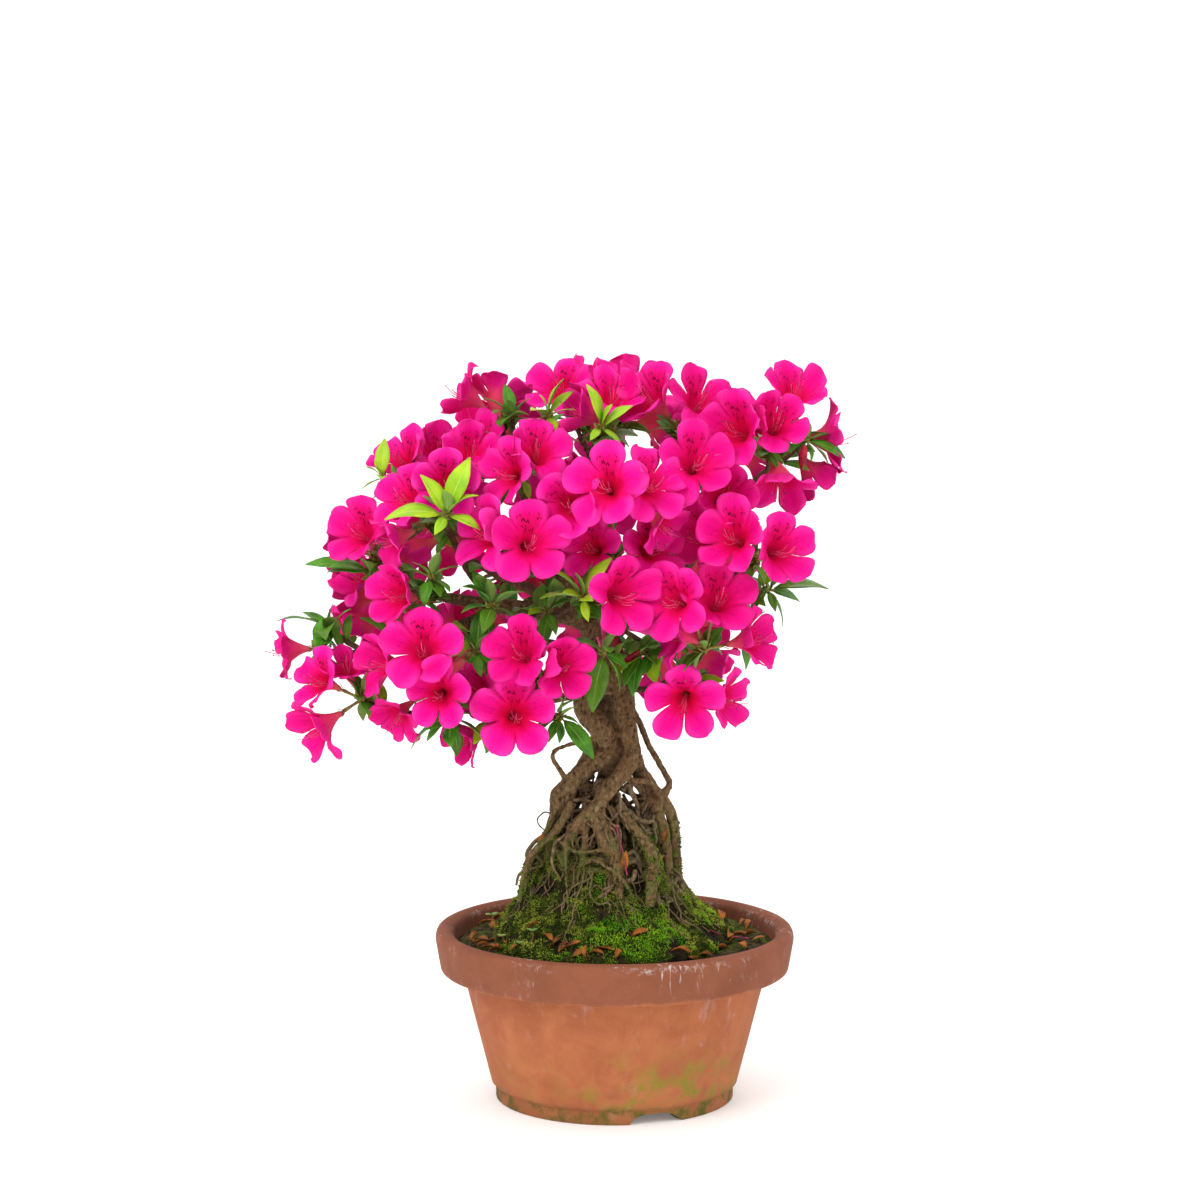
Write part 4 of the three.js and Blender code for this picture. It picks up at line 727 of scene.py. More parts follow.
# the trusses at the back: their blooms fan out round an azimuth and elevation
backTrusses = [
    ("back_far_left", (-128, 18, 290), (-125, 10)),
    ("back_low_left", (-82, 48, 258), (-155, 5)),
    ("back_left", (-96, 44, 328), (-145, 20)),
    ("back_left_top", (-62, 34, 372), (-155, 45)),
    ("back_low", (-38, 58, 284), (180, 5)),
    ("back_mid", (-24, 58, 338), (180, 20)),
    ("back_top", (4, 26, 392), (170, 50)),
    ("back_right", (48, 54, 318), (155, 15)),
    ("back_right_top", (58, 30, 376), (150, 40)),
    ("back_low_right", (34, 40, 262), (150, 0)),
]

# each leafy shoot: its place, its node, the way it faces, its age and its leaf tips
shoots = [
    ("left_front", (-93, -92, 351), (0, 80), "young", [(-107, -96, 374), (-80, -90, 383),
     (-126, -104, 352), (-74, -98, 345), (-99, -104, 342), (-76, -100, 364)]),
    ("far_left", (-164, -11.5, 278), (-40, 60), "old", [(-162, -15, 293), (-194, -14, 284),
     (-151, -25, 291), (-153, -40, 277), (-169, -38, 268), (-180, -8, 287)]),
    ("left_mid", (-140, -20, 311), (-50, 20), "old", [(-177, -20, 316), (-163, -32, 307),
     (-163, -15, 322), (-131, -38, 299)]),
    ("left_crest", (-132, -25, 366), (-40, 50), "young", [(-142, -25, 373), (-144, -30, 360),
     (-128, -40, 356), (-136, -12, 378)]),
    ("crest_left", (-58, -25, 401), (10, 60), "old", [(-48, -28, 412), (-75, -26, 412), (-61, -34, 412),
     (-49, -38, 403), (-69, -42, 405)]),
    ("crest_mid", (-38, -45, 402), (0, 60), "young", [(-29, -50, 424), (-42, -48, 415), (-48, -55, 399),
     (-22, -52, 407), (-33, -58, 395)]),
    ("crest_front", (-8, -63.5, 397.5), (0, 50), "young", [(-23, -72, 417), (-2, -68, 411),
     (-14, -72, 391), (4, -66, 387)]),
    ("heart", (-18, -82, 304), (0, 50), "young", [(-22, -88, 319), (-29, -94, 309), (-2, -84, 327),
     (-42, -88, 305), (-15, -90, 292)]),
    ("heart_low", (-6, -62, 271), (-10, -40), "old", [(-13, -74, 239), (-26, -70, 279), (2, -72, 286),
     (7, -66, 263)]),
    ("low_mid", (-31, -52, 233), (20, -30), "old", [(-12, -60, 210), (-21, -62, 240), (-38, -56, 219),
     (-18, -40, 224)]),
    ("low_left", (-93, -60, 234), (-20, -40), "old", [(-106, -66, 221), (-111, -62, 234),
     (-75, -72, 236), (-89, -58, 211), (-116, -52, 215)]),
    ("left_inner", (-78, -62, 271), (10, 20), "old", [(-90, -70, 268), (-67, -74, 271), (-71, -72, 283),
     (-86, -70, 282), (-75, -72, 259)]),
    ("inner_left", (-69, -62, 297), (0, 30), "old", [(-71, -70, 314), (-84, -74, 311), (-51, -72, 307),
     (-53, -74, 289), (-86, -72, 295)]),
    ("inner_mid", (-38, -55, 293), (20, 20), "old", [(-31, -64, 307), (-49, -64, 297), (-33, -68, 282),
     (-20, -60, 294), (-42, -60, 311)]),
    ("inner_shoulder", (-103, -62, 313), (-10, 20), "old", [(-98, -72, 329), (-113, -68, 323),
     (-87, -72, 321), (-107, -74, 299), (-92, -76, 307)]),
    ("right_mid", (87, -35, 303), (40, -10), "old", [(121, -40, 305), (91, -44, 292), (77, -46, 292),
     (106, -28, 296), (103, -22, 312)]),
    ("right_low", (72, -32, 281), (50, -10), "old", [(90, -40, 280), (92, -28, 272), (75, -40, 293),
     (86, -22, 289)]),
    ("low_right", (15, -42, 268), (20, -20), "old", [(37, -52, 264), (10, -48, 244), (21, -54, 281),
     (27, -40, 252), (2, -36, 262)]),
    ("far_right", (109, -20, 387), (30, -10), "old", [(109, -28, 399), (112, -24, 375), (122, -16, 374),
     (99, -26, 381)]),
    ("back_left", (-62, 52, 300), (-170, 20), "old", []),
    ("back_right", (20, 54, 300), (165, 20), "old", []),
]


potShape = {
    # radius, height and how far the corner is rounded
    "profile": [
        (12.5, 7, 1), (60, 7, 1), (60, 0, 0.8), (69.7, 0, 1.0), (69.7, 8, 1.0), (72, 9.5, 1.2),
        (89.3, 76.5, 1.2), (101.5, 76.5, 1.4), (105, 96, 2.5), (103.5, 100, 1.5), (99, 101, 2.0),
        (94.5, 98.5, 2.0), (93, 88, 3), (81.3, 70.5, 3), (66, 16, 4), (12.5, 15, 1),
    ],
    "longest": 3.6, "segments": 160, "footTop": 8, "notchWidth": 29, "notchHeight": 6,
    "notchAngles": (19.6, 139.6, 259.6), "waver": 0.35, "throwing": 0.12,
    "footRadius": 65, "wall": (70, 90),
}


def roundedProfile(corners, longest):  # a closed outline with soft corners and no long steps
    count, outline = len(corners), []
    for i, (r, z, soft) in enumerate(corners):
        corner = Vector((r, z))
        before, after = Vector(corners[i - 1][:2]) - corner, Vector(corners[(i + 1) % count][:2]) - corner
        start = corner + before.normalized() * min(soft, before.length * 0.45)
        end = corner + after.normalized() * min(soft, after.length * 0.45)
        for share in (0, 0.33, 0.67, 1):
            outline.append(start.lerp(corner, share).lerp(corner.lerp(end, share), share))
    fine = []
    for i, point in enumerate(outline):
        ahead = outline[(i + 1) % len(outline)]
        steps = max(1, math.ceil((ahead - point).length / longest))
        fine += [point.lerp(ahead, k / steps) for k in range(steps)]
    return fine


def makePot():
    shape = potShape
    profile = roundedProfile(shape["profile"], shape["longest"])
    points = []
    for i in range(shape["segments"]):
        turn = 360 * i / shape["segments"]
        a = math.radians(turn)
        lift = 0
        for notch in shape["notchAngles"]:
            apart = (turn - notch + 180) % 360 - 180
            side = abs(math.radians(apart)) * shape["footRadius"] / (shape["notchWidth"] / 2)
            if side < 1:
                lift = shape["notchHeight"] * (1 - side ** 2.6) ** 0.6
        for r, z in profile:
            wave = noise.noise((math.sin(a) * 2.2, math.cos(a) * 2.2, z * 0.03))
            if shape["wall"][0] < r < shape["wall"][1] and z > shape["footTop"] + 1:
                r += shape["throwing"] * math.sin(z * 1.9 + wave * 5)
            r += shape["waver"] * wave
            if z < shape["footTop"] and r > 55:
                z = lift + z * (1 - lift / shape["footTop"])
            points.append((r * math.sin(a), -r * math.cos(a), z))
    faces = [tuple(v % len(points) for v in face) for face in ringFaces(shape["segments"] + 1, len(profile))]
    mesh = meshOf("pot", points, faces)
    mesh.materials.append(terracotta)
    outward(mesh)
    ready("terracotta_pot", mesh, "terracotta", "pot")


soilShape = {
    "top": 94, "flatRadius": 86, "rings": 30, "segments": 110,
    "edge": ((89.5, 92.6), (92.6, 91), (80, 72)), "sink": 0.4,
    "crumbs": {"Density": 36000.0, "Size": 0.0024, "Seed": 4, "Least_Size": 0.35, "Lean": 3.0,
               "Amount": "crumbs"},
}
moundShape = {
    "centre": (-8, 2), "reach": (84, 77, 70, 62),
    "steps": ((0, 0), (0.02, 4), (0.28, 11), (0.62, 19), (0.84, 33), (1, 46)),
    "coreRadius": 41.5, "crownRadius": 29, "crownHeight": 57, "crownRise": 4, "base": 93.2,
    "segments": 168, "lump": 2.2, "cushion": 1.9, "grain": 0.9,
    "tufts": {"Density": 700000.0, "Size": 0.0027, "Seed": 11, "Least_Size": 0.45, "Lean": 0.55},
}


def moundReach(degrees):
    front = degrees % 360
    step, share = int(front // 90), (front % 90) / 90
    a, b = moundShape["reach"][step % 4], moundShape["reach"][(step + 1) % 4]
    return a + (b - a) * (1 - math.cos(share * math.pi)) / 2


def moundRadius(degrees, z):  # how far the mound reaches from its centre at a height
    shape, level = moundShape, z - moundShape["base"] - 1
    for (s0, h0), (s1, h1) in zip(shape["steps"], shape["steps"][1:]):
        if level <= h1:
            share = mixed(s0, s1, max(level - h0, 0) / (h1 - h0))
            return mixed(moundReach(degrees), shape["coreRadius"], share)
    share = min((level - h1) / (shape["crownHeight"] - h1), 1)
    return mixed(shape["coreRadius"], shape["crownRadius"], share)


def moundRings():  # each ring's wide and narrow radius, the share of the way between them, and its height
    shape, rings = moundShape, []
    core, crown, high = shape["coreRadius"], shape["crownRadius"], shape["crownHeight"]
    for (s0, h0), (s1, h1) in zip(shape["steps"], shape["steps"][1:]):
        parts = max(2, math.ceil(math.hypot((s1 - s0) * 40, h1 - h0) / 2.2))
        rings += [(None, core, mixed(s0, s1, k / parts), mixed(h0, h1, k / parts)) for k in range(parts)]
    rings.append((None, core, s1, h1))
    rings += [(core, crown, k / 5, mixed(h1, high, k / 5)) for k in range(1, 6)]
    return rings + [(crown, 0, k / 12, high + shape["crownRise"] * (1 - (1 - k / 12) ** 2))
                    for k in range(1, 12)]


def mossAmount(x, y, z):  # where moss has grown: low, and more at the front
    patch = noise.fractal(Vector((x, y, z)) * 0.06 + Vector((3.1, 0.4, 7.7)), 0.8, 2.0, 4)
    return min(max(0.62 + patch * 1.0, 0), 1)


def freshAndLitAmount(x, y, z):  # bright moss low in front and on the tops of the small domes, dark moss in the dips: partly young moss, partly painted highlight and painted shade
    front = smoothStep(20, -60, y) * math.exp(-((x - 10) / 32) ** 2) * smoothStep(130, 108, z)
    patch = noise.noise(Vector((x, y, z)) * 0.05 + Vector((7, 1, 2)))
    return min(max(0.32 + 0.7 * front + 0.5 * patch + 1.1 * cushion(x, y, z), 0), 1)


def cushion(x, y, z):  # the small domes that moss grows in
    return noise.noise(Vector((x, y, z)) * 0.21) * 0.6 + noise.noise(Vector((x, y, z)) * 0.43) * 0.4


def makeSoil():
    shape, count = soilShape, soilShape["segments"]
    points, faces = [(0, 0, shape["top"])], []
    rings = [(shape["flatRadius"] * (k + 1) / shape["rings"], shape["top"]) for k in range(shape["rings"])]
    rings += shape["edge"]
    for r, z in rings:
        for i in range(count):
            a = fullTurn * i / count
            x, y = r * math.sin(a), -r * math.cos(a)
            bump = noise.noise(Vector((x, y, 0)) * 0.12) * 1.2 + noise.noise(Vector((x, y, 5)) * 0.5) * 0.6
            points.append((x, y, z + (bump if z > 90 else 0.0) - shape["sink"]))
    for i in range(count):
        n = (i + 1) % count
        faces.append((0, 1 + i, 1 + n))
        for k in range(len(rings) - 1):
            a, b = 1 + k * count, 1 + (k + 1) * count
            faces.append((a + i, b + i, b + n, a + n))
    last = 1 + (len(rings) - 1) * count
    points.append((0, 0, rings[-1][1] - shape["sink"]))
    faces += [(len(points) - 1, last + (i + 1) % count, last + i) for i in range(count)]
    mesh = meshOf("soil", points, faces)
    outward(mesh)
    mesh.materials.append(soilEarth)
    flat = (shape["top"] - 3) * mm
    setFloats(mesh, "crumbs", [v.co.z > flat for v in mesh.vertices])
    bare = mesh.copy()
    crumbs = grown("crumbs", mesh.copy(), tufts, Shape=crumbShape, Material=soilEarth, **shape["crumbs"])
    ready("soil_surface", joinedMesh("soil", mesh, crumbs), "soil", "soil")
    return bare


def makeMound():
    shape, count = moundShape, moundShape["segments"]
    cx, cy = shape["centre"]
    rings, base = moundRings(), shape["base"] + 1
    points, moss = [], []
    for wide, narrow, share, height in rings:
        for i in range(count):
            t = 360 * i / count
            a = math.radians(t)
            r = mixed(wide or moundReach(t), narrow, share)
            p = Vector((cx + r * math.sin(a), cy - r * math.cos(a), base + height))
            soft = noise.fractal(p * 0.075, 1.0, 2.0, 3) * shape["lump"]
            fine = noise.fractal(p * 0.34, 1.0, 2.0, 3) * shape["grain"] + cushion(*p) * shape["cushion"]
            hold = smoothStep(0, 6, height)
            out, up = (soft + fine) * hold, (soft * 0.7 + fine) * hold
            points.append((p.x + out * math.sin(a), p.y - out * math.cos(a), p.z + up))
            moss.append(mossAmount(*points[-1]))
    faces = ringFaces(len(rings), count)
    top, last = len(points), (len(rings) - 1) * count
    points += [(cx, cy, base + shape["crownHeight"] + shape["crownRise"]), (cx, cy, base - 1)]
    moss += [0, 0]
    faces += [(last + i, last + (i + 1) % count, top) for i in range(count)]
    faces += [((i + 1) % count, i, top + 1) for i in range(count)]
    mesh = meshOf("mound", points, faces)
    setFloats(mesh, "moss", moss)
    setFloats(mesh, "freshAndLit", [freshAndLitAmount(*p) for p in points])
    mesh.materials.append(mossGround)
    bare = mesh.copy()
    thick = [max(m - 0.3, 0) * 1.5 if p[2] > base + 0.5 else 0 for m, p in zip(moss, points)]
    mesh.attributes["moss"].data.foreach_set("value", thick)
    sown = grown("mossTufts", mesh, tufts, Shape=tuftShape, Material=mossTuft, **shape["tufts"])
    ready("moss_mound_ground", bare, "moss", "moss_mound")
    ready("moss_tufts", sown, "moss", "moss_mound")
    return bare


def makeTuftShape():  # a star of three leaning blades, one unit high
    points, faces, rise = [], [], []
    for i in range(3):
        a = i * math.pi / 1.5 + 0.2 * i
        side = Vector((math.cos(a), math.sin(a), 0))
        across = Vector((-math.sin(a), math.cos(a), 0)) * 0.24
        first = len(points)
        foot, tip = side * 0.08 - upward * 0.1, side * 0.5 + upward * (0.95 - 0.12 * i)
        points += [foot - across, foot + across, foot + side * 0.2, tip]
        faces += [(first, first + 1, first + 3), (first + 1, first + 2, first + 3),
                  (first + 2, first, first + 3), (first + 1, first, first + 2)]
        # 0 at the foot and 1 at the tip; the moss darkens towards the foot as painted shade
        rise += [0, 0, 0, 1]
    return hiddenShape("tuft", points, faces, rise=rise)


def makeBallShape(name, lumps, height):
    form = bmesh.new()
    bmesh.ops.create_icosphere(form, subdivisions=1, radius=0.5)
    for v in form.verts:
        v.co *= 1 + lumps * noise.noise(v.co * 3 + Vector((4, 1, 2)))
        v.co.z *= height
    mesh = shaped(name, form)
    mesh.shade_smooth()
    return bpy.data.objects.new(name, mesh)


tuftShape = makeTuftShape()
crumbShape = makeBallShape("crumb", 0.35, 0.8)
makePot()
soilMesh = makeSoil()
moundMesh = makeMound()
print("pot, soil and moss made")


def curvePoint(knots, place):  # a centripetal curve through the knots, place from 0 to 1
    steps = (len(knots) - 1) * place
    i = min(int(steps), len(knots) - 2)
    weight = steps - i
    p1, p2 = knots[i], knots[i + 1]
    p0 = knots[i - 1] if i > 0 else knots[0] * 2 - knots[1]
    p3 = knots[i + 2] if i + 2 < len(knots) else knots[-1] * 2 - knots[-2]
    d0, d1, d2 = ((b - a).length ** 0.5 for a, b in ((p0, p1), (p1, p2), (p2, p3)))
    t1 = ((p1 - p0) / d0 - (p2 - p0) / (d0 + d1) + (p2 - p1) / d1) * d1
    t2 = ((p2 - p1) / d1 - (p3 - p1) / (d1 + d2) + (p3 - p2) / d2) * d1
    w2, w3 = weight * weight, weight ** 3
    return p1 + t1 * weight + (p2 * 3 - p1 * 3 - t1 * 2 - t2) * w2 + (p1 * 2 - p2 * 2 + t1 + t2) * w3


def evenCurve(route, count):  # count + 1 points at even distances along the curve
    knots = [Vector(p) for p in route]
    fine = [curvePoint(knots, i / 200) for i in range(201)]
    lengths = [0.0]
    for a, b in zip(fine, fine[1:]):
        lengths.append(lengths[-1] + (b - a).length)
    points, k = [], 0
    for i in range(count + 1):
        target = lengths[-1] * i / count
        while k < 199 and lengths[k + 1] < target:
            k += 1
        part = (target - lengths[k]) / max(lengths[k + 1] - lengths[k], 1e-9)
        points.append(fine[k].lerp(fine[k + 1], min(max(part, 0), 1)))
    return points, lengths[-1]


def stepped(values, share):  # a value that changes evenly from each number of a list to the next
    place = share * (len(values) - 1)
    i = min(int(place), len(values) - 2)
    return mixed(values[i], values[i + 1], place - i)


def frameAlong(points):  # a steady pair of cross directions at each point
    ways = [(points[min(i + 1, len(points) - 1)] - points[max(i - 1, 0)]).normalized()
            for i in range(len(points))]
    right = ways[0].orthogonal().normalized()
    frames = []
    for way in ways:
        right = (right - way * right.dot(way)).normalized()
        frames.append((right, way.cross(right), way))
    return frames


def gnarledLimb(route, radii, seed, step=2.6, sides=18, knobs=0.13):
    # a closed tube with an uneven, fluted section
    count = max(6, round(evenCurve(route, 4)[1] / step))
    line, length = evenCurve(route, count)
    points = []
    for i, (centre, (right, up, way)) in enumerate(zip(line, frameAlong(line))):
        share = i / count
        base = stepped(radii, share)
        swell = noise.noise((seed * 3.1, share * length * 0.09, 0))
        for k in range(sides):
            a = fullTurn * k / sides
            place = Vector((math.cos(a) * 1.3, math.sin(a) * 1.3, share * length * 0.02 + seed * 7.3))
            r = base * (1 + knobs * 1.6 * noise.noise(place) + knobs * swell)
            points.append(centre + right * math.cos(a) * r + up * math.sin(a) * r)
    faces, first, last = ringFaces(count + 1, sides), len(points), count * sides
    faces += [(first, (k + 1) % sides, k) for k in range(sides)]
    faces += [(first + 1, last + k, last + (k + 1) % sides) for k in range(sides)]
    return points + [line[0], line[-1]], faces


trunkShape = {"voxel": 0.00106, "smoothing": 2, "bark": 0.36, "plates": 0.3, "hollow": 5.0}

# finer roots that run over and between the others
fineRoots = [
    ("heart wood", (6, 6.5, 6, 4.5), [(-6, 5, 256), (-8, 6, 236), (-4, 6, 214), (-4, 8, 194)]),
    ("left spread", (2.6, 2.4, 2.2, 1.8, 1.4), [(-24, -27, 179), (-28, -29, 172), (-35.5, -30, 161),
     (-43, -32, 155), (-50, -36, 147), (-53, -40, 134)]),
    ("green front", (2.6, 3.4, 3.8, 3.2, 2.4), [(-14, -27, 176), (-11, -31, 169), (-7, -33, 158),
     (-1, -37, 149), (2, -42, 140), (3, -47, 126)]),
    ("knob right", (2.4, 2.8, 3.0, 3.4, 4.4, 3.6, 2.4), [(2, -24, 177), (8, -29, 168), (15, -32, 160),
     (21, -35, 151), (22, -38, 143), (21, -43, 134), (20, -48, 122)]),
    ("right inner loop", (1.8, 2, 1.9, 1.6), [(4, -16, 196), (9, -22, 191), (19, -20, 190),
     (26, -14, 181), (28, -10, 170)]),
    ("left outermost", (2, 2, 1.9, 1.6, 1.3), [(-32, -20, 182), (-35, -22, 171), (-41, -24, 158),
     (-47, -28, 148), (-52, -32, 138), (-55, -36, 122)]),
    ("red thin", (1.3, 1.2, 1.1, 0.9), [(-26, -28, 166), (-28, -35, 156), (-28, -41, 143), (-27, -47, 124)]),
    ("pale cross", (1.1, 1.6, 1.6, 1.4, 1.0), [(-24, -36, 140), (-18, -40, 146), (-12, -41, 148),
     (-3, -43, 143), (5, -47, 137), (12, -50, 126)]),
    ("dark cross", (1.2, 1.3, 1.0), [(-36, -30, 160), (-22, -36, 152), (-8, -38, 153), (4, -38, 151)]),
]


mossOnRoots = {"top": 172, "full": 128, "density": {"trunk": 760000.0, "mat": 170000.0},
               "tufts": {"Size": 0.0019, "Seed": 5, "Least_Size": 0.45, "Lean": 0.6}}


def rootMoss(name, mesh):  # moss that climbs from the mound over the roots
    shape, source = mossOnRoots, mesh.copy()
    amounts, freshAndLit = [], []
    for v in source.vertices:
        p = listed(v.co)
        patch = noise.noise(p * 0.07 + Vector((2, 8, 1))) + 0.5 * noise.noise(p * 0.2)
        amounts.append(max(smoothStep(shape["top"], shape["full"], p.z) * (0.55 + 1.3 * patch), 0))
        freshAndLit.append(freshAndLitAmount(*p))
    setFloats(source, "moss", amounts)
    setFloats(source, "freshAndLit", freshAndLit)
    sown = grown(name + "Moss", source, tufts, Density=shape["density"][name], Shape=tuftShape,
                 Material=mossTuft, **shape["tufts"])
    ready("moss_on_" + name, sown, "moss")


def hollowness(mesh, rounds=5):  # how deep each vertex lies between its neighbours, in mm
    normals = [v.normal.copy() for v in mesh.vertices]
    places = [v.co.copy() for v in mesh.vertices]
    pairs = [tuple(e.vertices) for e in mesh.edges]
    counts, values = [0] * len(places), [0.0] * len(places)
    for a, b in pairs:
        gap = places[b] - places[a]
        for end, way in ((a, gap), (b, -gap)):
            counts[end] += 1
            values[end] += way.dot(normals[end]) / mm
    values = [v / max(n, 1) for v, n in zip(values, counts)]
    for _ in range(rounds):
        sums = list(values)
        for a, b in pairs:
            sums[a] += values[b]
            sums[b] += values[a]
        values = [s / (n + 1) for s, n in zip(sums, counts)]
    return values


def makeTrunk():
    # every root and the thick wood grown together into one skin, then roughened as bark
    shape = trunkShape
    points, faces = [], []
    limbs = roots + fineRoots + branches[:2] + branches[5:8] + [branches[4]]
    for i, (name, radii, route) in enumerate(limbs):
        limbPoints, limbFaces = gnarledLimb(route, radii, i)
        faces += [tuple(v + len(points) for v in face) for face in limbFaces]
        points += limbPoints
    carrier = objectOf("trunk", meshOf("trunk", points, faces))
    remesh = carrier.modifiers.new("grow together", "REMESH")
    remesh.mode, remesh.voxel_size, remesh.use_smooth_shade = "VOXEL", shape["voxel"], True
    soften = carrier.modifiers.new("soften", "SMOOTH")
    soften.iterations, soften.factor = shape["smoothing"], 0.5
    mesh = evaluatedMesh(carrier)
    ridges = []
    normals = [v.normal.copy() for v in mesh.vertices]
    for v, normal, hollow in zip(mesh.vertices, normals, hollowness(mesh)):
        p = v.co / mm
        grain = Vector((p.x, p.y, p.z * 0.55))
        fissures = noise.fractal(grain * 0.55, 0.7, 2.0, 4)
        plates = abs(noise.noise(grain * 0.9 + Vector((9, 2, 5)))) - 0.25
        depth = min(max(hollow, 0) * shape["hollow"], 1)
        v.co += normal * (fissures * shape["bark"] + plates * shape["plates"] - depth) * mm
        # the ridge is high on the raised bark, where the bark's painted highlight goes, and low in the
        # fissures and in the hollows between strands, where its painted shade goes
        ridges.append(0.5 + fissures * 0.75 + plates * 0.5 - depth * 0.9)
    setFloats(mesh, "ridge", ridges)
    mesh.update()
    mesh.materials.clear()
    mesh.materials.append(bark)
    mesh.shade_smooth()
    rootMoss("trunk", mesh)
    ready("trunk_and_roots", mesh, "bark", "tree")


hubRadius = {"truss": 2.9, "shoot": 2.2}
twigShape = {"start": 1.9, "end": 1.15, "keepOff": 5, "straightEnd": 8}


def lineDistance(point, a, b):
    way = b - a
    share = min(max((point - a).dot(way) / way.length_squared, 0), 1)
    return (a + way * share - point).length


def twigRoutes():
    hubs = [(Vector(t[1]), "truss") for t in frontTrusses + backTrusses]
    hubs += [(Vector(s[1]), "shoot") for s in shoots]
    starts = []
    for name, radii, route in branches[1:]:
        fine = evenCurve(route, 100)[0]
        starts += [fine[round(15 + 85 * i / 9)] for i in range(10)]
    routes = []
    for end, kind in hubs:
        others = [p for p, _ in hubs if (p - end).length > 1e-6]
        ranked = sorted(starts, key=lambda s: (s - end).length)
        clear = [s for s in ranked if all(lineDistance(p, s, end) > twigShape["keepOff"] for p in others)]
        start = (clear or ranked)[0]
        middle = start.lerp(end, 0.5) - Vector((0, 0, 0.06 * (end - start).length))
        way = (end - middle).normalized()
        seat = hubRadius[kind] * 0.795
        tail = min(twigShape["straightEnd"], 0.35 * (end - start).length)
        routes.append(([start, middle, end - way * (seat + tail), end - way * seat * 0.6], kind))
    return routes


def waved(line, seed, size):  # small turns and kinks in a line, none at its ends
    out = []
    for i, p in enumerate(line):
        share = i / (len(line) - 1)
        hold = math.sin(math.pi * share) ** 0.5
        drift = noise.noise_vector(p * 0.06 + Vector((seed, 0, 0))) * size
        drift += noise.noise_vector(p * 0.17 + Vector((seed, 5, 0))) * size * 0.3
        out.append(p + drift * hold)
    return out


def makeBranches():
    shape, chains = twigShape, []
    for i, (name, radii, route) in enumerate(branches[1:], 1):
        count = max(8, round(evenCurve(route, 4)[1] / 3))
        thickness = [stepped(radii, k / count) * (1 + 0.14 * noise.noise((i * 3.3, k * 0.4, 0)))
                     for k in range(count + 1)]
        thickness[-1] *= 0.6
        chains.append((evenCurve(route, count)[0], thickness, 0.3))
    thick = strandMesh("branches", chains, 12, twigBark)
    chains, count = [], 12
    for i, (route, kind) in enumerate(twigRoutes()):
        thickness = [mixed(shape["start"], shape["end"], k / count)
                     * (1 + 0.2 * noise.noise((i * 5.1, k * 0.9, 2))) for k in range(count + 1)]
        chains.append((waved(evenCurve(route, count)[0], i * 1.7, 1.2), thickness, 0.7))
    mesh = joinedMesh("branches", thick, strandMesh("twigs", chains, 8, twigBark))
    setFloats(mesh, "ridge", [0.5 + 0.6 * noise.noise(v.co * 500) for v in mesh.vertices])
    ready("branches_and_twigs", mesh, "bark", "tree")


hairShape = {"count": 150, "seed": 21, "thickness": (0.26, 0.75), "from": (126, 182), "reach": (12, 50),
             "proud": (-0.6, 3.2)}
tangleShape = {"count": 64, "thickness": (0.7, 1.7), "from": (140, 190), "drop": (8, 42),
               "aside": (0.3, 1.5), "proud": (-5, 2.5)}
matShape = {"count": 150, "seed": 33, "thickness": (0.6, 1.7), "top": (146, 174), "tallest": 192}
rootSteps = 18  # the parts of each fine root


# single roots that stand clear of the rest
strayRoots = [
    ((1.1, 1.3, 1.2, 1.0, 0.9, 0.7), [(-38, -17, 160), (-45, -18, 154), (-50, -18, 148), (-48, -20, 141),
     (-54, -18, 136), (-57, -20, 129)]),
    ((1.0, 1.1, 0.9, 0.8, 0.7), [(-36, -20, 155), (-47, -22, 150), (-42, -24, 144), (-50, -22, 139),
     (-52, -26, 127)]),
    ((0.4, 0.5, 0.4, 0.4), [(-35, -14, 169), (-41, -14, 171), (-44, -14, 167), (-40, -15, 160)]),
    ((1.0, 1.0, 0.9, 0.7), [(29, -15, 136), (34, -16, 138), (38, -16, 133), (38, -16, 122)]),
    ((0.7, 0.6, 0.6, 0.6, 0.5), [(31, -6, 189), (33, -7, 184), (30, -8, 179), (23, -9, 178),
     (14, -10, 178)]),
    ((1.0, 0.9, 0.9, 0.7), [(-22, -30, 165), (-33, -34, 158), (-36, -36, 148), (-31, -42, 136)]),
]


middleOfRoots = Vector((-5, 0, 0))


def coreReach(z):  # how far the mass of roots reaches from its middle at a height
    return stepped((58, 46, 39, 35, 31, 27, 22, 15), min(max((z - 112) / 84, 0), 1))


def roundRoots(reach, turn, z):  # a place this far from the middle of the roots
    return Vector((reach * math.sin(turn), -reach * math.cos(turn), z)) + middleOfRoots


def heldIn(point, slack=0.0):  # keeps a root within the mass
    out = Vector((point.x, point.y, 0)) - middleOfRoots
    reach = coreReach(point.z) + slack
    if out.length > reach:
        out = out.normalized() * reach
    return Vector((out.x, out.y, point.z)) + middleOfRoots


def overMound(point, proud):  # brings a low root out onto the face of the mound
    p = heldIn(point, 3 + proud)
    centre = Vector((*moundShape["centre"], 0))
    out = Vector((p.x, p.y, 0)) - centre
    turn = math.degrees(math.atan2(out.x, -out.y))
    reach = mixed(out.length, moundRadius(turn, p.z) + proud, smoothStep(158, 140, p.z))
    return centre + out.normalized() * reach + upward * p.z


def thinning(base, full, loss):  # the radii of a root that thins towards its end
    return [base * (full - loss * k / rootSteps) for k in range(rootSteps + 1)]


def rootPiece(name, label, chains, sides, ridge, grain, moss=False):
    mesh = strandMesh(label, chains, sides, rootBark)
    setFloats(mesh, "ridge", [ridge + 0.5 * noise.noise(v.co * grain) for v in mesh.vertices])
    if moss:
        rootMoss("mat", mesh)
    ready(name, mesh, "bark", "tree")


def drawn(draw, *ranges):  # a place drawn from a range for each direction
    return Vector([draw.uniform(*r) for r in ranges])


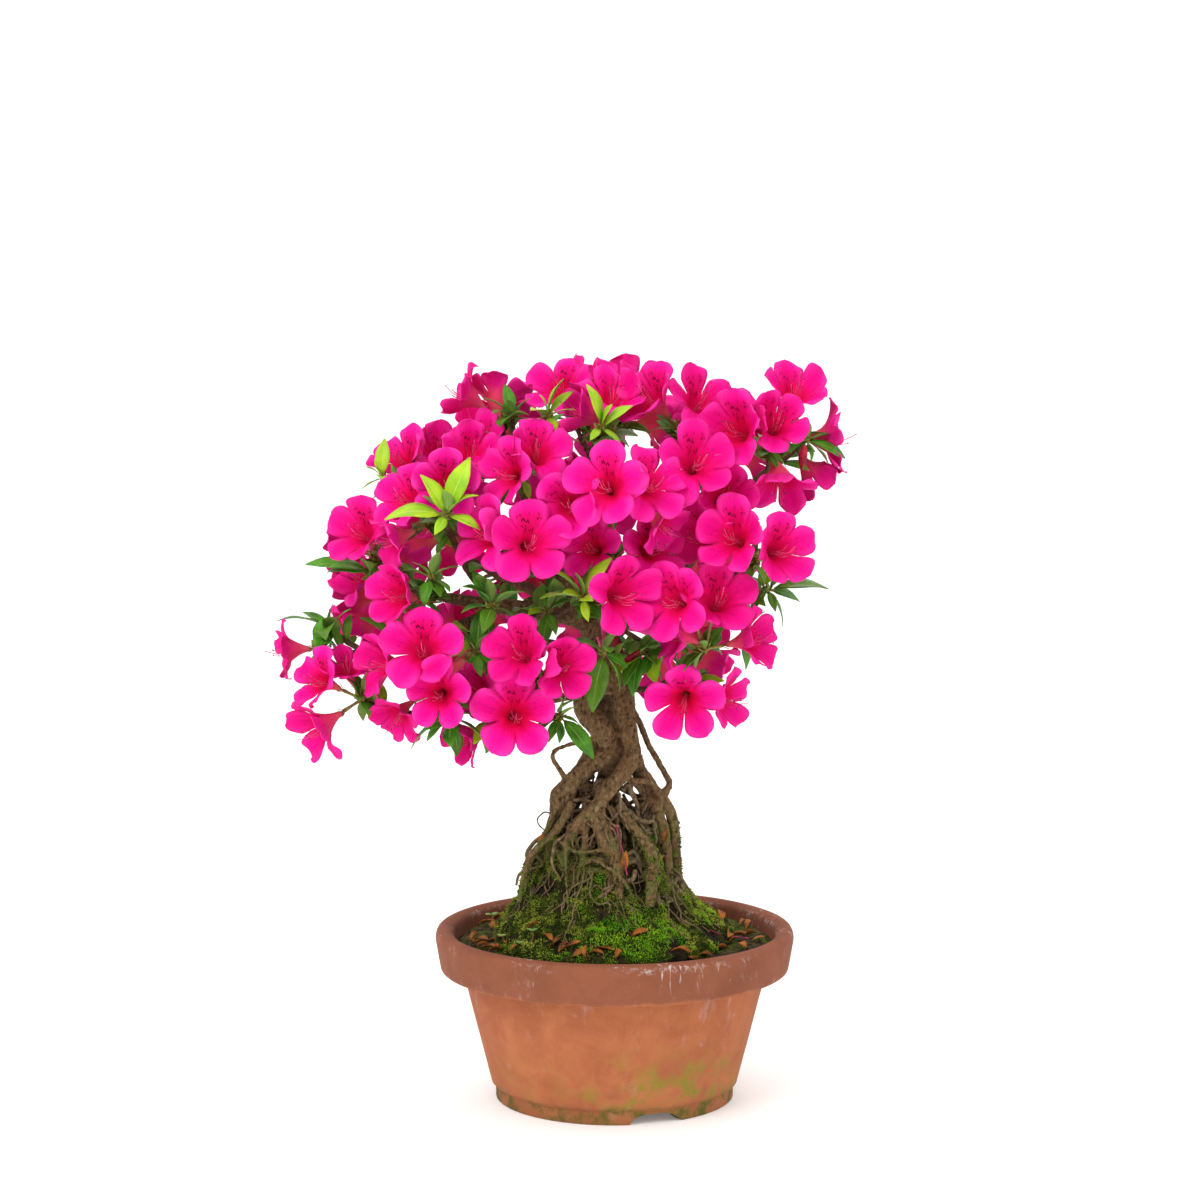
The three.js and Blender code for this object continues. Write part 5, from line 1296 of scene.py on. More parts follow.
def makeRootMat():
    # the mass of thinner roots inside the thick ones
    shape, draw = matShape, random.Random(matShape["seed"])
    chains = []
    for i in range(shape["count"]):
        turn = draw.uniform(0, 6.283)
        high, low = draw.uniform(*shape["top"]), draw.uniform(112, 135)
        if i % 6 == 0:
            high = draw.uniform(174, shape["tallest"])
        a, b = coreReach(high) * draw.uniform(0.3, 0.8), coreReach(low) * draw.uniform(0.5, 0.95)
        start, end = roundRoots(a, turn, high), roundRoots(b, turn + draw.uniform(-0.7, 0.7), low)
        line = [start.lerp(end, k / rootSteps) for k in range(rootSteps + 1)]
        line = [heldIn(p, -4) for p in waved(line, i * 3.7, 15)]
        chains.append((line, thinning(draw.uniform(*shape["thickness"]), 1.15, 0.5), draw.random()))
    # their low ridge paints these inner roots dark: painted shade inside the mass of roots
    rootPiece("root_mat", "rootMat", chains, 5, 0.14, 500, True)


def makeHairRoots():
    # thin roots that leave the thick ones and wander down over the core into the moss
    shape, draw = hairShape, random.Random(hairShape["seed"])
    chains = []
    low = [p for name, radii, route in roots for p in evenCurve(route, 16)[0]
           if shape["from"][0] < p.z < shape["from"][1]]
    for i in range(shape["count"]):
        start = draw.choice(low) + drawn(draw, (-3, 3), (-3, 3), (-2, 2))
        turn = math.atan2(start.x + 6, -(start.y - 2)) + draw.uniform(-0.5, 0.5)
        reach = 40 + draw.uniform(-4, 16)
        drop = draw.uniform(*shape["reach"])
        end = Vector((-8 + reach * math.sin(turn), 2 - reach * math.cos(turn), max(start.z - drop, 104)))
        middle = start.lerp(end, 0.5) + drawn(draw, (-9, 9), (-9, 3), (-2, 8))
        bow = start.lerp(middle, 0.5) + Vector((draw.uniform(-4, 4), -1, 2))
        line, proud = evenCurve([start, bow, middle, end], rootSteps)[0], draw.uniform(*shape["proud"])
        line = [overMound(p, proud) for p in waved(line, i * 2.3, 9)]
        chains.append((line, thinning(draw.uniform(*shape["thickness"]), 1.15, 0.6), draw.random()))
    shape = tangleShape  # and the stouter ones that cross over each other
    for i in range(shape["count"]):
        turn = draw.gauss(0, 0.8) if i % 3 else draw.uniform(1.2, 5.1)
        side = draw.uniform(*shape["aside"]) * draw.choice((-1, 1))
        high = draw.uniform(*shape["from"])
        foot = max(high - draw.uniform(*shape["drop"]), 122)
        proud, line = draw.uniform(*shape["proud"]), []
        for k in range(rootSteps + 1):
            z = mixed(high, foot, k / rootSteps)
            line.append(roundRoots(coreReach(z) + proud, turn + side * k / rootSteps, z))
        line = [heldIn(p, proud + 1.5) for p in waved(line, i * 4.9, 13)]
        chains.append((line, thinning(draw.uniform(*shape["thickness"]), 1.2, 0.6), draw.random()))
    for i, (radii, route) in enumerate(strayRoots):
        line = waved(evenCurve(route, rootSteps)[0], i * 6.1, 2.5)
        chains.append((line, [stepped(radii, k / rootSteps) for k in range(rootSteps + 1)], draw.random()))
    rootPiece("hair_roots", "hairRoots", chains, 6, 0.62, 300)


makeTrunk()
makeBranches()
makeRootMat()
makeHairRoots()
print("trunk, roots and branches made")


# The solids' blooms and leaves were bent clear of each other; each fine one takes the same turn,
# which is found by the solid's own corners.


def cornerTree(node):
    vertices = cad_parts[node].data.vertices
    tree = KDTree(len(vertices))
    for i, v in enumerate(vertices):
        tree.insert(listed(v.co), i)
    tree.balance()
    return tree


def offBy(tree, point):
    return tree.find(point)[2]


bloomShape = {
    "mouth": 18, "hinge": (7, 16), "valley": (8.4, 15), "tip": (22.8, 23),
    "pushes": (0, 3, -3, 6), "spins": (0, 24, -24, 12, -12), "bends": (0, 18, -18, 36, -36, 54, -54),
    "columns": 8, "backColumns": 6, "funnelRows": 6, "funnelShare": 0.42,
    # outward distance, height and half width of a lobe at shares of its length
    "lobe": ((0, 8.4, 15.0, 4.94), (0.12, 10.2, 17.0, 7.3), (0.26, 12.3, 18.8, 8.7), (0.4, 14.6, 20.3, 9.6),
             (0.54, 16.9, 21.5, 9.8), (0.67, 19.1, 22.3, 9.4), (0.79, 21.1, 22.8, 8.2),
             (0.9, 22.9, 23.1, 6.2), (0.96, 23.9, 23.2, 4.3), (1, 24.5, 23.2, 1.9)),
    "crease": 1.3, "ruffle": 1.5, "rounding": 0.4, "recurve": 1.1, "overlap": 0.9, "opening": 34,
    "closing": 24, "fold": (-0.1, 0.5), "upper": 1.12, "thickness": 0.26,
    # share of the tube from its foot to the mouth of the funnel, and radius
    "tube": ((0, 0.1), (0.05, 1.3), (0.2, 1.7), (0.4, 2.5), (0.58, 3.8), (0.74, 5.2), (0.87, 6.7), (1, 8.4)),
    "tubeLength": 17,
}


class Bloom:
    def __init__(self, row, push, spin):
        *mouth, azimuth, elevation, self.size = row
        self.spin, self.bends = spin, [0] * 5
        self.axis, self.right = facing(azimuth, elevation), rightOf(azimuth)
        self.up = self.axis.cross(self.right)
        self.base = Vector(mouth) + self.axis * (push - bloomShape["mouth"] * self.size)

    def lobeAngle(self, lobe):
        return math.radians(90 + self.spin + 72 * lobe)

    def side(self, angle):
        return self.right * math.cos(angle) + self.up * math.sin(angle)

    def at(self, outward, height, across, lobe, bend):
        # a place on a lobe: how far out, how high and how far aside, with the lobe bent at its hinge
        hingeOut, hingeHigh = bloomShape["hinge"]
        b, turn = math.radians(bend), self.lobeAngle(lobe)
        out, rise = outward - hingeOut, height - hingeHigh
        outside = hingeOut + out * math.cos(b) - rise * math.sin(b)
        forward = hingeHigh + out * math.sin(b) + rise * math.cos(b)
        x = outside * math.cos(turn) - across * math.sin(turn)
        y = outside * math.sin(turn) + across * math.cos(turn)
        return self.base + (self.right * x + self.up * y + self.axis * forward) * self.size

    def valley(self, lobe):
        radius, height = bloomShape["valley"]
        side = self.side(self.lobeAngle(lobe) - math.radians(36))
        return self.base + (side * radius + self.axis * height) * self.size

    def ringMiddle(self):
        return self.base + self.axis * bloomShape["valley"][1] * self.size


def settled(row, corners):  # a bloom turned and bent as its solid is
    def misfit(trial):
        return sum(offBy(corners, trial.valley(i)) for i in range(5))

    trials = [Bloom(row, push, spin) for push in bloomShape["pushes"] for spin in bloomShape["spins"]]
    best = min(trials, key=misfit)
    for lobe in range(5):
        outward, height = bloomShape["tip"]
        best.bends[lobe] = min(bloomShape["bends"], key=lambda bend: offBy(
            corners, best.at(outward, height, 0, lobe, bend)) + abs(bend) * 1e-6)
    return best, misfit(best)


backFan = {"turns": (38, 128, 218, 308), "tilt": 60, "reach": 26, "sizes": (1.0, 0.92, 0.96, 0.9, 0.94)}


def backBlooms(hub, face):
    ahead = facing(*face)
    leaning = turnedRound(ahead, rightOf(face[0]), backFan["tilt"])
    ways = [ahead] + [turnedRound(leaning, ahead, turn) for turn in backFan["turns"]]
    return [(*(Vector(hub) + way * backFan["reach"]), math.degrees(math.atan2(way.x, -way.y)),
             math.degrees(math.asin(way.z)), size) for way, size in zip(ways, backFan["sizes"])]


def emptyStore():
    return {"points": [], "faces": [], "corners": [], "tones": [], "blotches": []}


def strip(store, back, ahead, low, high):  # quads between two rows of points, with their place on the map
    columns = len(back) - 1
    for c in range(columns):
        store["faces"].append((back[c], ahead[c], ahead[c + 1], back[c + 1]))
        a, b = c / columns, (c + 1) / columns
        store["corners"] += [(a, low), (a, high), (b, high), (b, low)]


def solidSheet(name, store, thickness, uvName, front, back):
    # gives an open sheet its thickness, with its own material behind
    mesh = meshOf(name, store["points"], store["faces"])
    layer = mesh.uv_layers.new(name=uvName)
    layer.data.foreach_set("uv", [v for uv in store["corners"] for v in uv])
    setFloats(mesh, "tone", store["tones"])
    if store["blotches"]:
        setFloats(mesh, "blotch", store["blotches"])
    carrier = objectOf(name, mesh, front, back)
    shell = carrier.modifiers.new("thickness", "SOLIDIFY")
    shell.thickness, shell.offset, shell.material_offset = thickness * mm, -1, 1
    shell.use_even_offset = False
    return evaluatedMesh(carrier)


def eulerAlong(way, roll=0.0):  # turns a shape's Z along a way
    return (Quaternion(way, roll) @ way.to_track_quat("Z", "Y")).to_euler()


def hermite(a, wayA, b, wayB, share):
    s2, s3 = share * share, share ** 3
    return (a * (2 * s3 - 3 * s2 + 1) + wayA * (s3 - 2 * s2 + share)
            + b * (3 * s2 - 2 * s3) + wayB * (s3 - s2))


def bloomLine(bloom, hub):  # the middle line from the bud cup to the mouth of the funnel
    end = bloom.ringMiddle()
    gap = (end - hub).length
    start = hub + (end - hub).normalized() * 1.5
    first = ((end - hub).normalized() + (bloom.base - hub).normalized() * 0.6).normalized()
    return [hermite(start, first * gap * 0.8, end, bloom.axis * gap * 1.1, k / 40) for k in range(41)]


def tubeStart(line, length):  # the place on the line that lies this far before its end
    left = length
    for k in range(len(line) - 1, 0, -1):
        step = (line[k] - line[k - 1]).length
        if step >= left:
            return k - left / step
        left -= step
    return 0.0


def onLine(line, place):
    i = min(int(place), len(line) - 2)
    return line[i].lerp(line[i + 1], place - i)


def bloomSheet(bloom, hub, index, columns, store):
    # the petals of one bloom as one open sheet: a funnel that parts into five lobes
    shape, rows, around = bloomShape, bloomShape["funnelRows"], 5 * columns
    line = bloomLine(bloom, hub)
    foot, end = tubeStart(line, shape["tubeLength"] * bloom.size), len(line) - 1
    points, first, split = store["points"], len(store["points"]), shape["funnelShare"]
    shares, radii = zip(*shape["tube"])

    def funnelRow(k, lobe):
        return [first + k * around + (lobe * columns + c) % around for c in range(columns + 1)]

    for k in range(rows + 1):
        share = k / rows
        place = mixed(foot, end, share)
        way = (onLine(line, min(place + 0.6, end)) - onLine(line, max(place - 0.6, 0))).normalized()
        right = (bloom.right - way * bloom.right.dot(way)).normalized()
        up = way.cross(right)
        i = max(j for j in range(len(shares) - 1) if shares[j] <= share)
        part = (share - shares[i]) / (shares[i + 1] - shares[i])
        radius = mixed(radii[i], radii[i + 1], min(part, 1)) * bloom.size
        for c in range(around):
            a = bloom.lobeAngle(0) - math.radians(36) + fullTurn * c / around
            flute = 1 + 0.05 * share * math.cos(5 * (a - bloom.lobeAngle(0)))
            points.append(onLine(line, place) + (right * math.cos(a) + up * math.sin(a)) * radius * flute)
    for k in range(rows):
        low, high = split * k / rows, split * (k + 1) / rows
        for lobe in range(5):
            strip(store, funnelRow(k, lobe), funnelRow(k + 1, lobe), low, high)
    blotches = []
    for lobe in range(5):
        back, low, raised = funnelRow(rows, lobe), split, bloom.side(bloom.lobeAngle(lobe)).z
        blotches.append(smoothStep(0.05, 0.9, max(raised, 0)))
        phase = scatter(index * 7 + lobe) * 6.28
        twist = (scatter(index * 5 + lobe * 3) - 0.5) * 2
        curl = 0.2 + 1.5 * scatter(index * 11 + lobe * 2)
        long = 0.93 + 0.12 * scatter(index * 31 + lobe * 13)
        wide = 0.9 + 0.18 * scatter(index * 3 + lobe * 5)
        wide *= mixed(1, shape["upper"], smoothStep(0.5, 1, raised))
        open = (scatter(index * 19 + lobe * 7) - 0.42) * shape["opening"]
        open += (scatter(index * 41 + 3) - 0.3) * shape["closing"]
        fold = mixed(*shape["fold"], scatter(index * 23 + lobe * 11))
        for share, outward, height, half in shape["lobe"][1:]:
            ahead, high = range(len(points), len(points) + columns + 1), split + (1 - split) * share
            bend = (bloom.bends[lobe] + open) * share ** 0.85
            for c in range(columns + 1):
                u = 2 * c / columns - 1
                edge = abs(u)
                across = u * half * wide + twist * 0.8 * share * share
                out = mixed(shape["hinge"][0], outward, long) - shape["rounding"] * share ** 3 * edge ** 2
                lift = -shape["crease"] * math.exp(-(u / 0.22) ** 2)
                lift *= math.sin(math.pi * min(share * 0.9 + 0.08, 1))
                wave = math.sin(phase + share * 7.5 + u * 2.2)
                lift += shape["ruffle"] * edge ** 2.5 * wave * (0.3 + share)
                lift -= shape["recurve"] * curl * (share ** 2.5 * 1.2 + 0.9 * edge ** 3 * share)
                lift += (twist * 0.9 + shape["overlap"]) * u * min(share * 2, 1)
                lift += fold * half * edge ** 1.4 * min(share * 1.6, 1) * (1 - 0.3 * share)
                points.append(bloom.at(out, height + lift, across, lobe, bend))
            strip(store, back, ahead, low, high)
            back, low = ahead, high
    store["tones"] += [scatter(index * 13 + 5)] * (len(points) - first)
    store["blotches"] += [b for k in range(rows + 1) for b in blotches for c in range(columns)]
    store["blotches"] += [b for b in blotches for c in range((len(shape["lobe"]) - 1) * (columns + 1))]
    return line, foot


stamenShape = {"count": 5, "filament": 0.27, "style": 0.33, "reach": (24, 29), "styleReach": 34, "fan": 3.6,
               "anther": Vector((0.7, 0.7, 1.3)), "room": 0.022}


def insideRoom(point, room):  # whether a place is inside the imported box, with a little room round it
    low, high = cadBox
    return all(low[i] - room * (high[i] - low[i]) < p < high[i] + room * (high[i] - low[i])
               for i, p in enumerate(placed(point)))


def stamenChains(bloom, line, foot, index, chains, anthers):
    shape, size = stamenShape, bloom.size
    start = onLine(line, mixed(foot, len(line) - 1, 0.12))
    middle = onLine(line, mixed(foot, len(line) - 1, 0.75))
    down = (-bloom.up if bloom.up.z > 0 else bloom.up)
    for i in range(shape["count"] + 1):
        isStyle = i == shape["count"]
        side = bloom.side(fullTurn * i / shape["count"] + scatter(index + i) * 0.9)
        reach = shape["styleReach"] if isStyle else mixed(*shape["reach"], scatter(index * 3 + i))
        fan = 1.2 if isStyle else shape["fan"] * (0.7 + 0.6 * scatter(index * 9 + i))
        while True:
            out = bloom.base + (bloom.axis * reach * 0.7 + side * fan * 0.6 + down * 2.6) * size
            tip = bloom.base + (bloom.axis * reach + side * fan - down * (0.6 if isStyle else -0.8)) * size
            if insideRoom(tip, shape["room"]) or reach < 14:
                break
            reach -= 1
        route = evenCurve([start, middle + side * 0.8 + down * 0.6, out, tip], 8)[0]
        thick = shape["style"] if isStyle else shape["filament"]
        chains.append((route, [thick * (1.1 - 0.5 * k / 8) for k in range(9)], scatter(index * 7 + i)))
        way = (tip - out).normalized()
        if isStyle:
            anthers.append((tip, eulerAlong(way), shape["anther"] * 0.8))
        else:
            anthers.append((tip, eulerAlong((way + side).normalized()), shape["anther"]))


def makeScaleShape():  # a small pointed scale, one unit high, hollow towards its middle
    points, faces = [], []
    for z, half in ((0, 0.32), (0.5, 0.5), (1, 0.03)):
        for u in (-1, 0, 1):
            points.append((u * half, 0.12 * (1 - abs(u)) + 0.05 * math.sin(z * 3), z))
        for u in (-1, 0, 1):
            points.append((u * half * 0.9, 0.12 * (1 - abs(u)) - 0.1, z))
    for k in range(2):
        a, b, ring = k * 6, (k + 1) * 6, (0, 1, 2, 5, 4, 3)
        for j in range(6):
            n = (j + 1) % 6
            faces.append((a + ring[j], a + ring[n], b + ring[n], b + ring[j]))
    faces += [(5, 4, 3, 0), (5, 0, 1, 2), (12, 15, 16, 17), (12, 17, 14, 13)]
    made = hiddenShape("scale", points, faces)
    outward(made.data)
    return made


scaleShape = makeScaleShape()
antherShape = makeBallShape("anther", 0, 1)
sepalSize = Vector((1.7, 1.7, 3.4))


def makeTrusses():
    filaments, anthers, pedicels, sepals = [], [], [], []
    index = 0
    everyTruss = frontTrusses + [(place, hub, backBlooms(hub, face)) for place, hub, face in backTrusses]
    for place, hub, rows in everyTruss:
        corners, store = cornerTree("bloom_truss_" + place), emptyStore()
        columns = bloomShape["backColumns" if place.startswith("back") else "columns"]
        for row in rows:
            bloom, error = settled(row, corners)
            if error > 1:
                print("bloom not found in", place, round(error, 2))
            line, foot = bloomSheet(bloom, Vector(hub), index, columns, store)
            stamenChains(bloom, line, foot, index, filaments, anthers)
            stem = [onLine(line, foot * k / 6) for k in range(7)]
            pedicels.append((stem, [1.15, 0.95, 0.9, 0.9, 1.0, 1.2, 1.3 * bloom.size], scatter(index)))
            way = (stem[-1] - stem[-2]).normalized()
            for side in [sideOf(way, k * 72) for k in range(5)]:
                turn = eulerAlong((way + side * 0.55).normalized())
                sepals.append((stem[-1] + side * 1.3 * bloom.size, turn, sepalSize * bloom.size))
            index += 1
        mesh = solidSheet(place, store, bloomShape["thickness"], "petalUv", petalFace, petalBack)
        ready("petals_" + place, mesh, "petal", "bloom_truss_" + place)
    stamens = joinedMesh("stamens", strandMesh("filaments", filaments, 4, filament),
                         copies("anthers", anthers, antherShape, anther))
    ready("stamens_and_styles", stamens, "petal")
    stems = joinedMesh("pedicels", strandMesh("pedicels", pedicels, 6, stalk),
                       copies("sepals", sepals, scaleShape, stalk))
    ready("pedicels_and_calyxes", stems, "bark")
    print("blooms made:", index)


cupShape = {"scales": 13, "length": 6.2, "width": 3.6, "thick": 2.4, "core": 2.4, "shootSize": 0.62,
            "goldenAngle": 2.39996}

buds = {  # foot, tip and half thickness
    "tight": (((1, -41, 261), (2, -44, 281), 3.3), ((3, -42, 262), (14, -48, 270), 2.6),
              ((107, -34, 385), (105, -42, 372), 2.6)),
    "withered": (((-5, -48, 267), (-7, -50, 284), 1.5), ((-4, -47, 268), (-10, -51, 278), 1.2)),
    "hub": (1, -40, 258), "twig": ((0, -8, 262), (-1, -26, 256), (1, -40, 258)),
}


def makeBudCups():
    # the scaly cup at the foot of every truss and every leafy shoot
    shape, scales, cores = cupShape, [], []
    spots = [(row[1], 1.0) for row in frontTrusses + backTrusses]
    spots += [(row[1], shape["shootSize"]) for row in shoots] + [(buds["hub"], 1.0)]
    for i, (hub, size) in enumerate(spots):
        hub, tilt, core = Vector(hub), facing(scatter(i) * 360, 50), shape["core"] * size
        cores.append((hub, (0, 0, 0), Vector((1, 1, 1.1)) * core * 2))
        for k in range(shape["scales"]):
            z = 0.9 - 1.7 * (k + 0.5) / shape["scales"]
            around = sideOf(tilt, math.degrees(k * shape["goldenAngle"] + i))
            out = around * math.sqrt(1 - z * z) + tilt * z
            turn = eulerAlong((out * 0.8 + tilt * 0.75).normalized(), k)
            full = Vector((shape["width"], shape["thick"], shape["length"])) * size
            scales.append((hub + out * core * 0.75, turn, full * (0.8 + 0.4 * scatter(k + i))))
    cups = joinedMesh("budCups", copies("cupScales", scales, scaleShape, budScale),
                      copies("cupCores", cores, crumbShape, budScale))
    ready("bud_cups", cups, "bark")


def makeBuds():
    def line(foot, tip):
        return [Vector(foot).lerp(Vector(tip), k / 10) for k in range(11)]

    swelling = [math.sin(math.pi * (0.16 + 0.08 * k)) ** 0.9 for k in range(11)]
    tight = [(line(foot, tip), [thick * s for s in swelling], 0.5) for foot, tip, thick in buds["tight"]]
    withered = [(waved(line(foot, tip), i, 3), [thick * (0.6 + 0.5 * scatter(k)) for k in range(11)], 0.5)
                for i, (foot, tip, thick) in enumerate(buds["withered"])]
    twig = [(evenCurve(buds["twig"], 10)[0], [1.3] * 11, 0.5)]
    mesh = joinedMesh("buds", strandMesh("tightBuds", tight, 10, budSkin),
                      strandMesh("witheredBuds", withered, 7, filament),
                      strandMesh("budTwig", twig, 8, twigBark))
    ready("buds", mesh, "petal")


makeTrusses()
makeBudCups()
makeBuds()


leafShape = {
    "widthShare": 0.38, "arch": 0.07, "roll": 60, "rows": 7, "columns": 4, "thickness": 0.26,
    "turns": ((0, 0), (22, 0), (-22, 0), (0, 22), (0, -22), (22, 22), (-22, -22), (40, 0), (-40, 0)),
}
whorlShape = {"front": 2, "back": 8, "opening": (48, 74), "length": (20, 26), "goldenAngle": 137.508}
underLeaves = {"seed": 8, "count": 6, "length": (13, 20), "crownMiddle": (-30, 0, 300)}
twigLeaves = {"seed": 12, "places": (0.3, 0.5, 0.68, 0.82), "length": (15, 26), "youngShare": 0.16}


def whorlTips(index, hub, face, count):
    axis, tips = facing(*face), []
    for i in range(count):
        opening = mixed(*whorlShape["opening"], scatter(index * 31 + i))
        length = mixed(*whorlShape["length"], scatter(index * 17 + i * 3))
        way = turnedRound(axis, rightOf(face[0]), opening)
        tips.append(Vector(hub) + turnedRound(way, axis, whorlShape["goldenAngle"] * (i + index)) * length)
    return tips


def leafSheet(base, tip, roll, index, store, small=1.0):
    # one leaf as an open sheet: arched, folded along its midrib, with soft waves at the margin
    shape, points, first = leafShape, store["points"], len(store["points"])
    way, length = (tip - base).normalized(), (tip - base).length
    level = Vector((0, -0.25, 1))
    up = turnedRound((level - way * level.dot(way)).normalized(), way, roll)
    right = up.cross(way)
    rows, columns = shape["rows"], shape["columns"]
    fold = mixed(0.1, 0.32, scatter(index * 3 + 1))
    droop = mixed(-0.5, 1.6, scatter(index * 5 + 2))
    wave = scatter(index * 7 + 3) * 6.28
    broad = mixed(0.86, 1.1, scatter(index * 9 + 4)) * small
    twist = (scatter(index * 11 + 6) - 0.5) * 0.9
    for k in range(rows + 1):
        share = k / rows
        along = mixed(0.1, 1.0, share)
        half = 0.5 * shape["widthShare"] * length * broad * (math.sin(math.pi * share ** 0.88) ** 0.8 + 0.02)
        half = max(half * (1 - 0.25 * smoothStep(0.75, 1, share)), 0.012 * length)
        rise = length * shape["arch"] * 4 * along * (1 - along) * (1 + 0.25 * droop)
        rise -= length * 0.05 * max(droop, 0) * max(along - 0.6, 0) ** 2 * 6
        turn = twist * (share - 0.3)
        aside = right * math.cos(turn) + up * math.sin(turn)
        over = up * math.cos(turn) - right * math.sin(turn)
        for c in range(columns + 1):
            u = 2 * c / columns - 1
            lift = abs(u) * half * fold + 0.05 * half * math.sin(wave + share * 9 + u * 2) * u * u
            points.append(base + way * along * length + up * rise + aside * u * half + over * lift)
    for k in range(rows):
        back = range(first + k * (columns + 1), first + (k + 1) * (columns + 1))
        strip(store, back, [place + columns + 1 for place in back], k / rows, (k + 1) / rows)
    store["tones"] += [scatter(index * 17 + 9)] * (len(points) - first)


def leafPiece(name, store, age, *nodes):
    front = {"young": leafYoung, "old": leafOld}[age]
    mesh = solidSheet(name, store, leafShape["thickness"], "leafUv", front, leafBack)
    ready(name, mesh, "leaf_" + age, *nodes)


def foundLeaf(base, tip, corners):  # the leaf's tip where its solid has it, or nothing if left out
    way = tip - base
    sideways = way.cross(upward).normalized()
    for lift, swing in leafShape["turns"]:
        turned = turnedRound(turnedRound(way, sideways, lift), upward, swing) + base
        if offBy(corners, turned) < 0.06:
            return turned
    return None


def makeShoots():
    petioles, missing = [], []
    for index, (place, hub, face, age, tips) in enumerate(shoots):
        corners, base, store = cornerTree("leafy_shoot_" + place), Vector(hub), emptyStore()
        more = whorlTips(index, hub, face, whorlShape["front" if tips else "back"])
        for i, tip in enumerate([Vector(t) for t in tips] + more):
            tip = foundLeaf(base, tip, corners)
            if tip is None:
                missing.append(place + " " + str(i))
                continue
            roll = (scatter(index * 13 + i * 5) - 0.5) * leafShape["roll"]
            leafSheet(base, tip, roll, index * 20 + i, store)
            way = tip - base
            petioles.append(([base, base + way * 0.05, base + way * 0.13 + Vector((0, 0, 0.3))],
                             [0.7, 0.6, 0.45], 0.5))
        leafPiece("leaves_" + place, store, age, "leafy_shoot_" + place)
    print("leaves left out:", missing)
    ready("petioles", strandMesh("petioles", petioles, 6, stalk), "bark")


def makeUnderLeaves():
    # small dark leaves round the foot of every truss, which fill the crown between the blooms
    draw, store, index = random.Random(underLeaves["seed"]), emptyStore(), 500
    for place, hub, *rest in frontTrusses + backTrusses:
        centre = Vector(hub)
        inward = (Vector(underLeaves["crownMiddle"]) - centre).normalized()
        for k in range(underLeaves["count"]):
            way = sideOf(inward, k * 60 + draw.uniform(-20, 20)) + inward * draw.uniform(-0.35, 0.35)
            tip = centre + way.normalized() * draw.uniform(*underLeaves["length"])
            if insideRoom(tip, 0.0):
                leafSheet(centre, tip, draw.uniform(-30, 30), index, store, 0.95)
            index += 1
    leafPiece("under_leaves", store, "old")


def makeTwigLeaves():
    # single leaves along the twigs, which fill the inside of the crown
    draw, index = random.Random(twigLeaves["seed"]), 900
    stores = {"old": emptyStore(), "young": emptyStore()}
    for route, kind in twigRoutes():
        line = evenCurve(route, 20)[0]
        for place in twigLeaves["places"]:
            foot = line[round(place * 20)]
            along = (line[min(round(place * 20) + 1, 20)] - foot).normalized()
            way = (sideOf(along, draw.uniform(0, 360)) + along * 0.6 + Vector((0, -0.35, 0.3))).normalized()
            tip = foot + way * draw.uniform(*twigLeaves["length"])
            index += 1
            age = "young" if draw.random() < twigLeaves["youngShare"] else "old"
            if insideRoom(tip, -0.01):
                leafSheet(foot, tip, draw.uniform(-40, 40), index, stores[age], 1.05)
    for age in stores:
        leafPiece("twig_leaves_" + age, stores[age], age)


makeShoots()
makeUnderLeaves()
makeTwigLeaves()
print("leaves made")


ground = {
    # x, y, turn and length of each dry leaf
    "litter": (
        (-79, -20, 30, 11), (-72, -31, -40, 12), (-67, -33, 75, 10), (-62, -40, 100, 11), (-82, -6, 60, 10),
        (-46, -46, 40, 11), (-38, -57, 120, 12), (-33, -65, 15, 12), (-24, -71, 8, 12), (-15, -78, 60, 10),
        (-7, -74, -10, 12), (2, -78, 70, 9), (14, -60, 25, 12), (37, -64, 5, 12), (51, -54, 10, 11),
        (62, -37, 30, 10), (73, -5, 20, 12), (80, 5, -15, 10), (-70, -20, 0, 10), (68, -16, 60, 9),
        (-76, -27, 10, 9), (-68, -38, 20, 10), (-30, -70, 70, 9), (-20, -76, 20, 10), (-11, -79, 5, 9),
        (77, -2, 70, 9), (84, -8, 40, 10), (44, -60, -20, 9), (-57, -52, 60, 9), (-64, -26, 130, 9),
    ),
    "caught": (((28, -25, 155), 80, 10), ((-45, -29, 157), 40, 7), ((5, -40, 141), 84, 13)),
    "atBack": 24, "seed": 5,
    # the foot and the head of each seedling, how many leaflets it has, and their width
    "seedlings": (((-69, -22, 94), (-71, -24, 113), 2, 4.2), ((-48, -56, 103), (-47, -57, 111), 3, 3.2),
                  ((-64, -38, 97), (-65, -40, 104), 3, 3.0), ((-52, -60, 99), (-54, -62, 105), 3, 2.6)),
    "stalks": (((0.5, -33, 167), (4, -38, 155), (7, -45, 140)),
               ((54, -24, 104), (62, -20, 100), (78, -12, 96))),
}


def makeDryLeafShape():  # a curled leaf, one unit long
    rings = []
    for k in range(8):
        s = k / 7
        half = 0.16 * math.sin(math.pi * s ** 0.9) ** 0.8 + 0.012
        roll, arch = 1.5 * (s - 0.5), 0.09 * math.sin(math.pi * s)
        top = [(s, u * half * math.cos(roll), arch + u * half * math.sin(roll) + abs(u) * half * 0.7)
               for u in (-1, 0, 1)]
        rings.append(top + [(x, y, z - 0.03) for x, y, z in reversed(top)])
    return loftedShape("dryLeaf", rings)


def makeRoundLeafShape():  # a round leaflet, one unit wide, that starts at its edge
    rings = []
    for k in range(6):
        s = k / 5
        half = math.sqrt(max(0.25 - (s - 0.5) ** 2, 0.0)) + 0.03
        top = [(s, u * half, 0.12 * math.sin(math.pi * s) - 0.1 * u * u) for u in (-1, -0.5, 0, 0.5, 1)]
        rings.append(top + [(x, y, z - 0.05) for x, y, z in reversed(top)])
    return loftedShape("roundLeaf", rings)


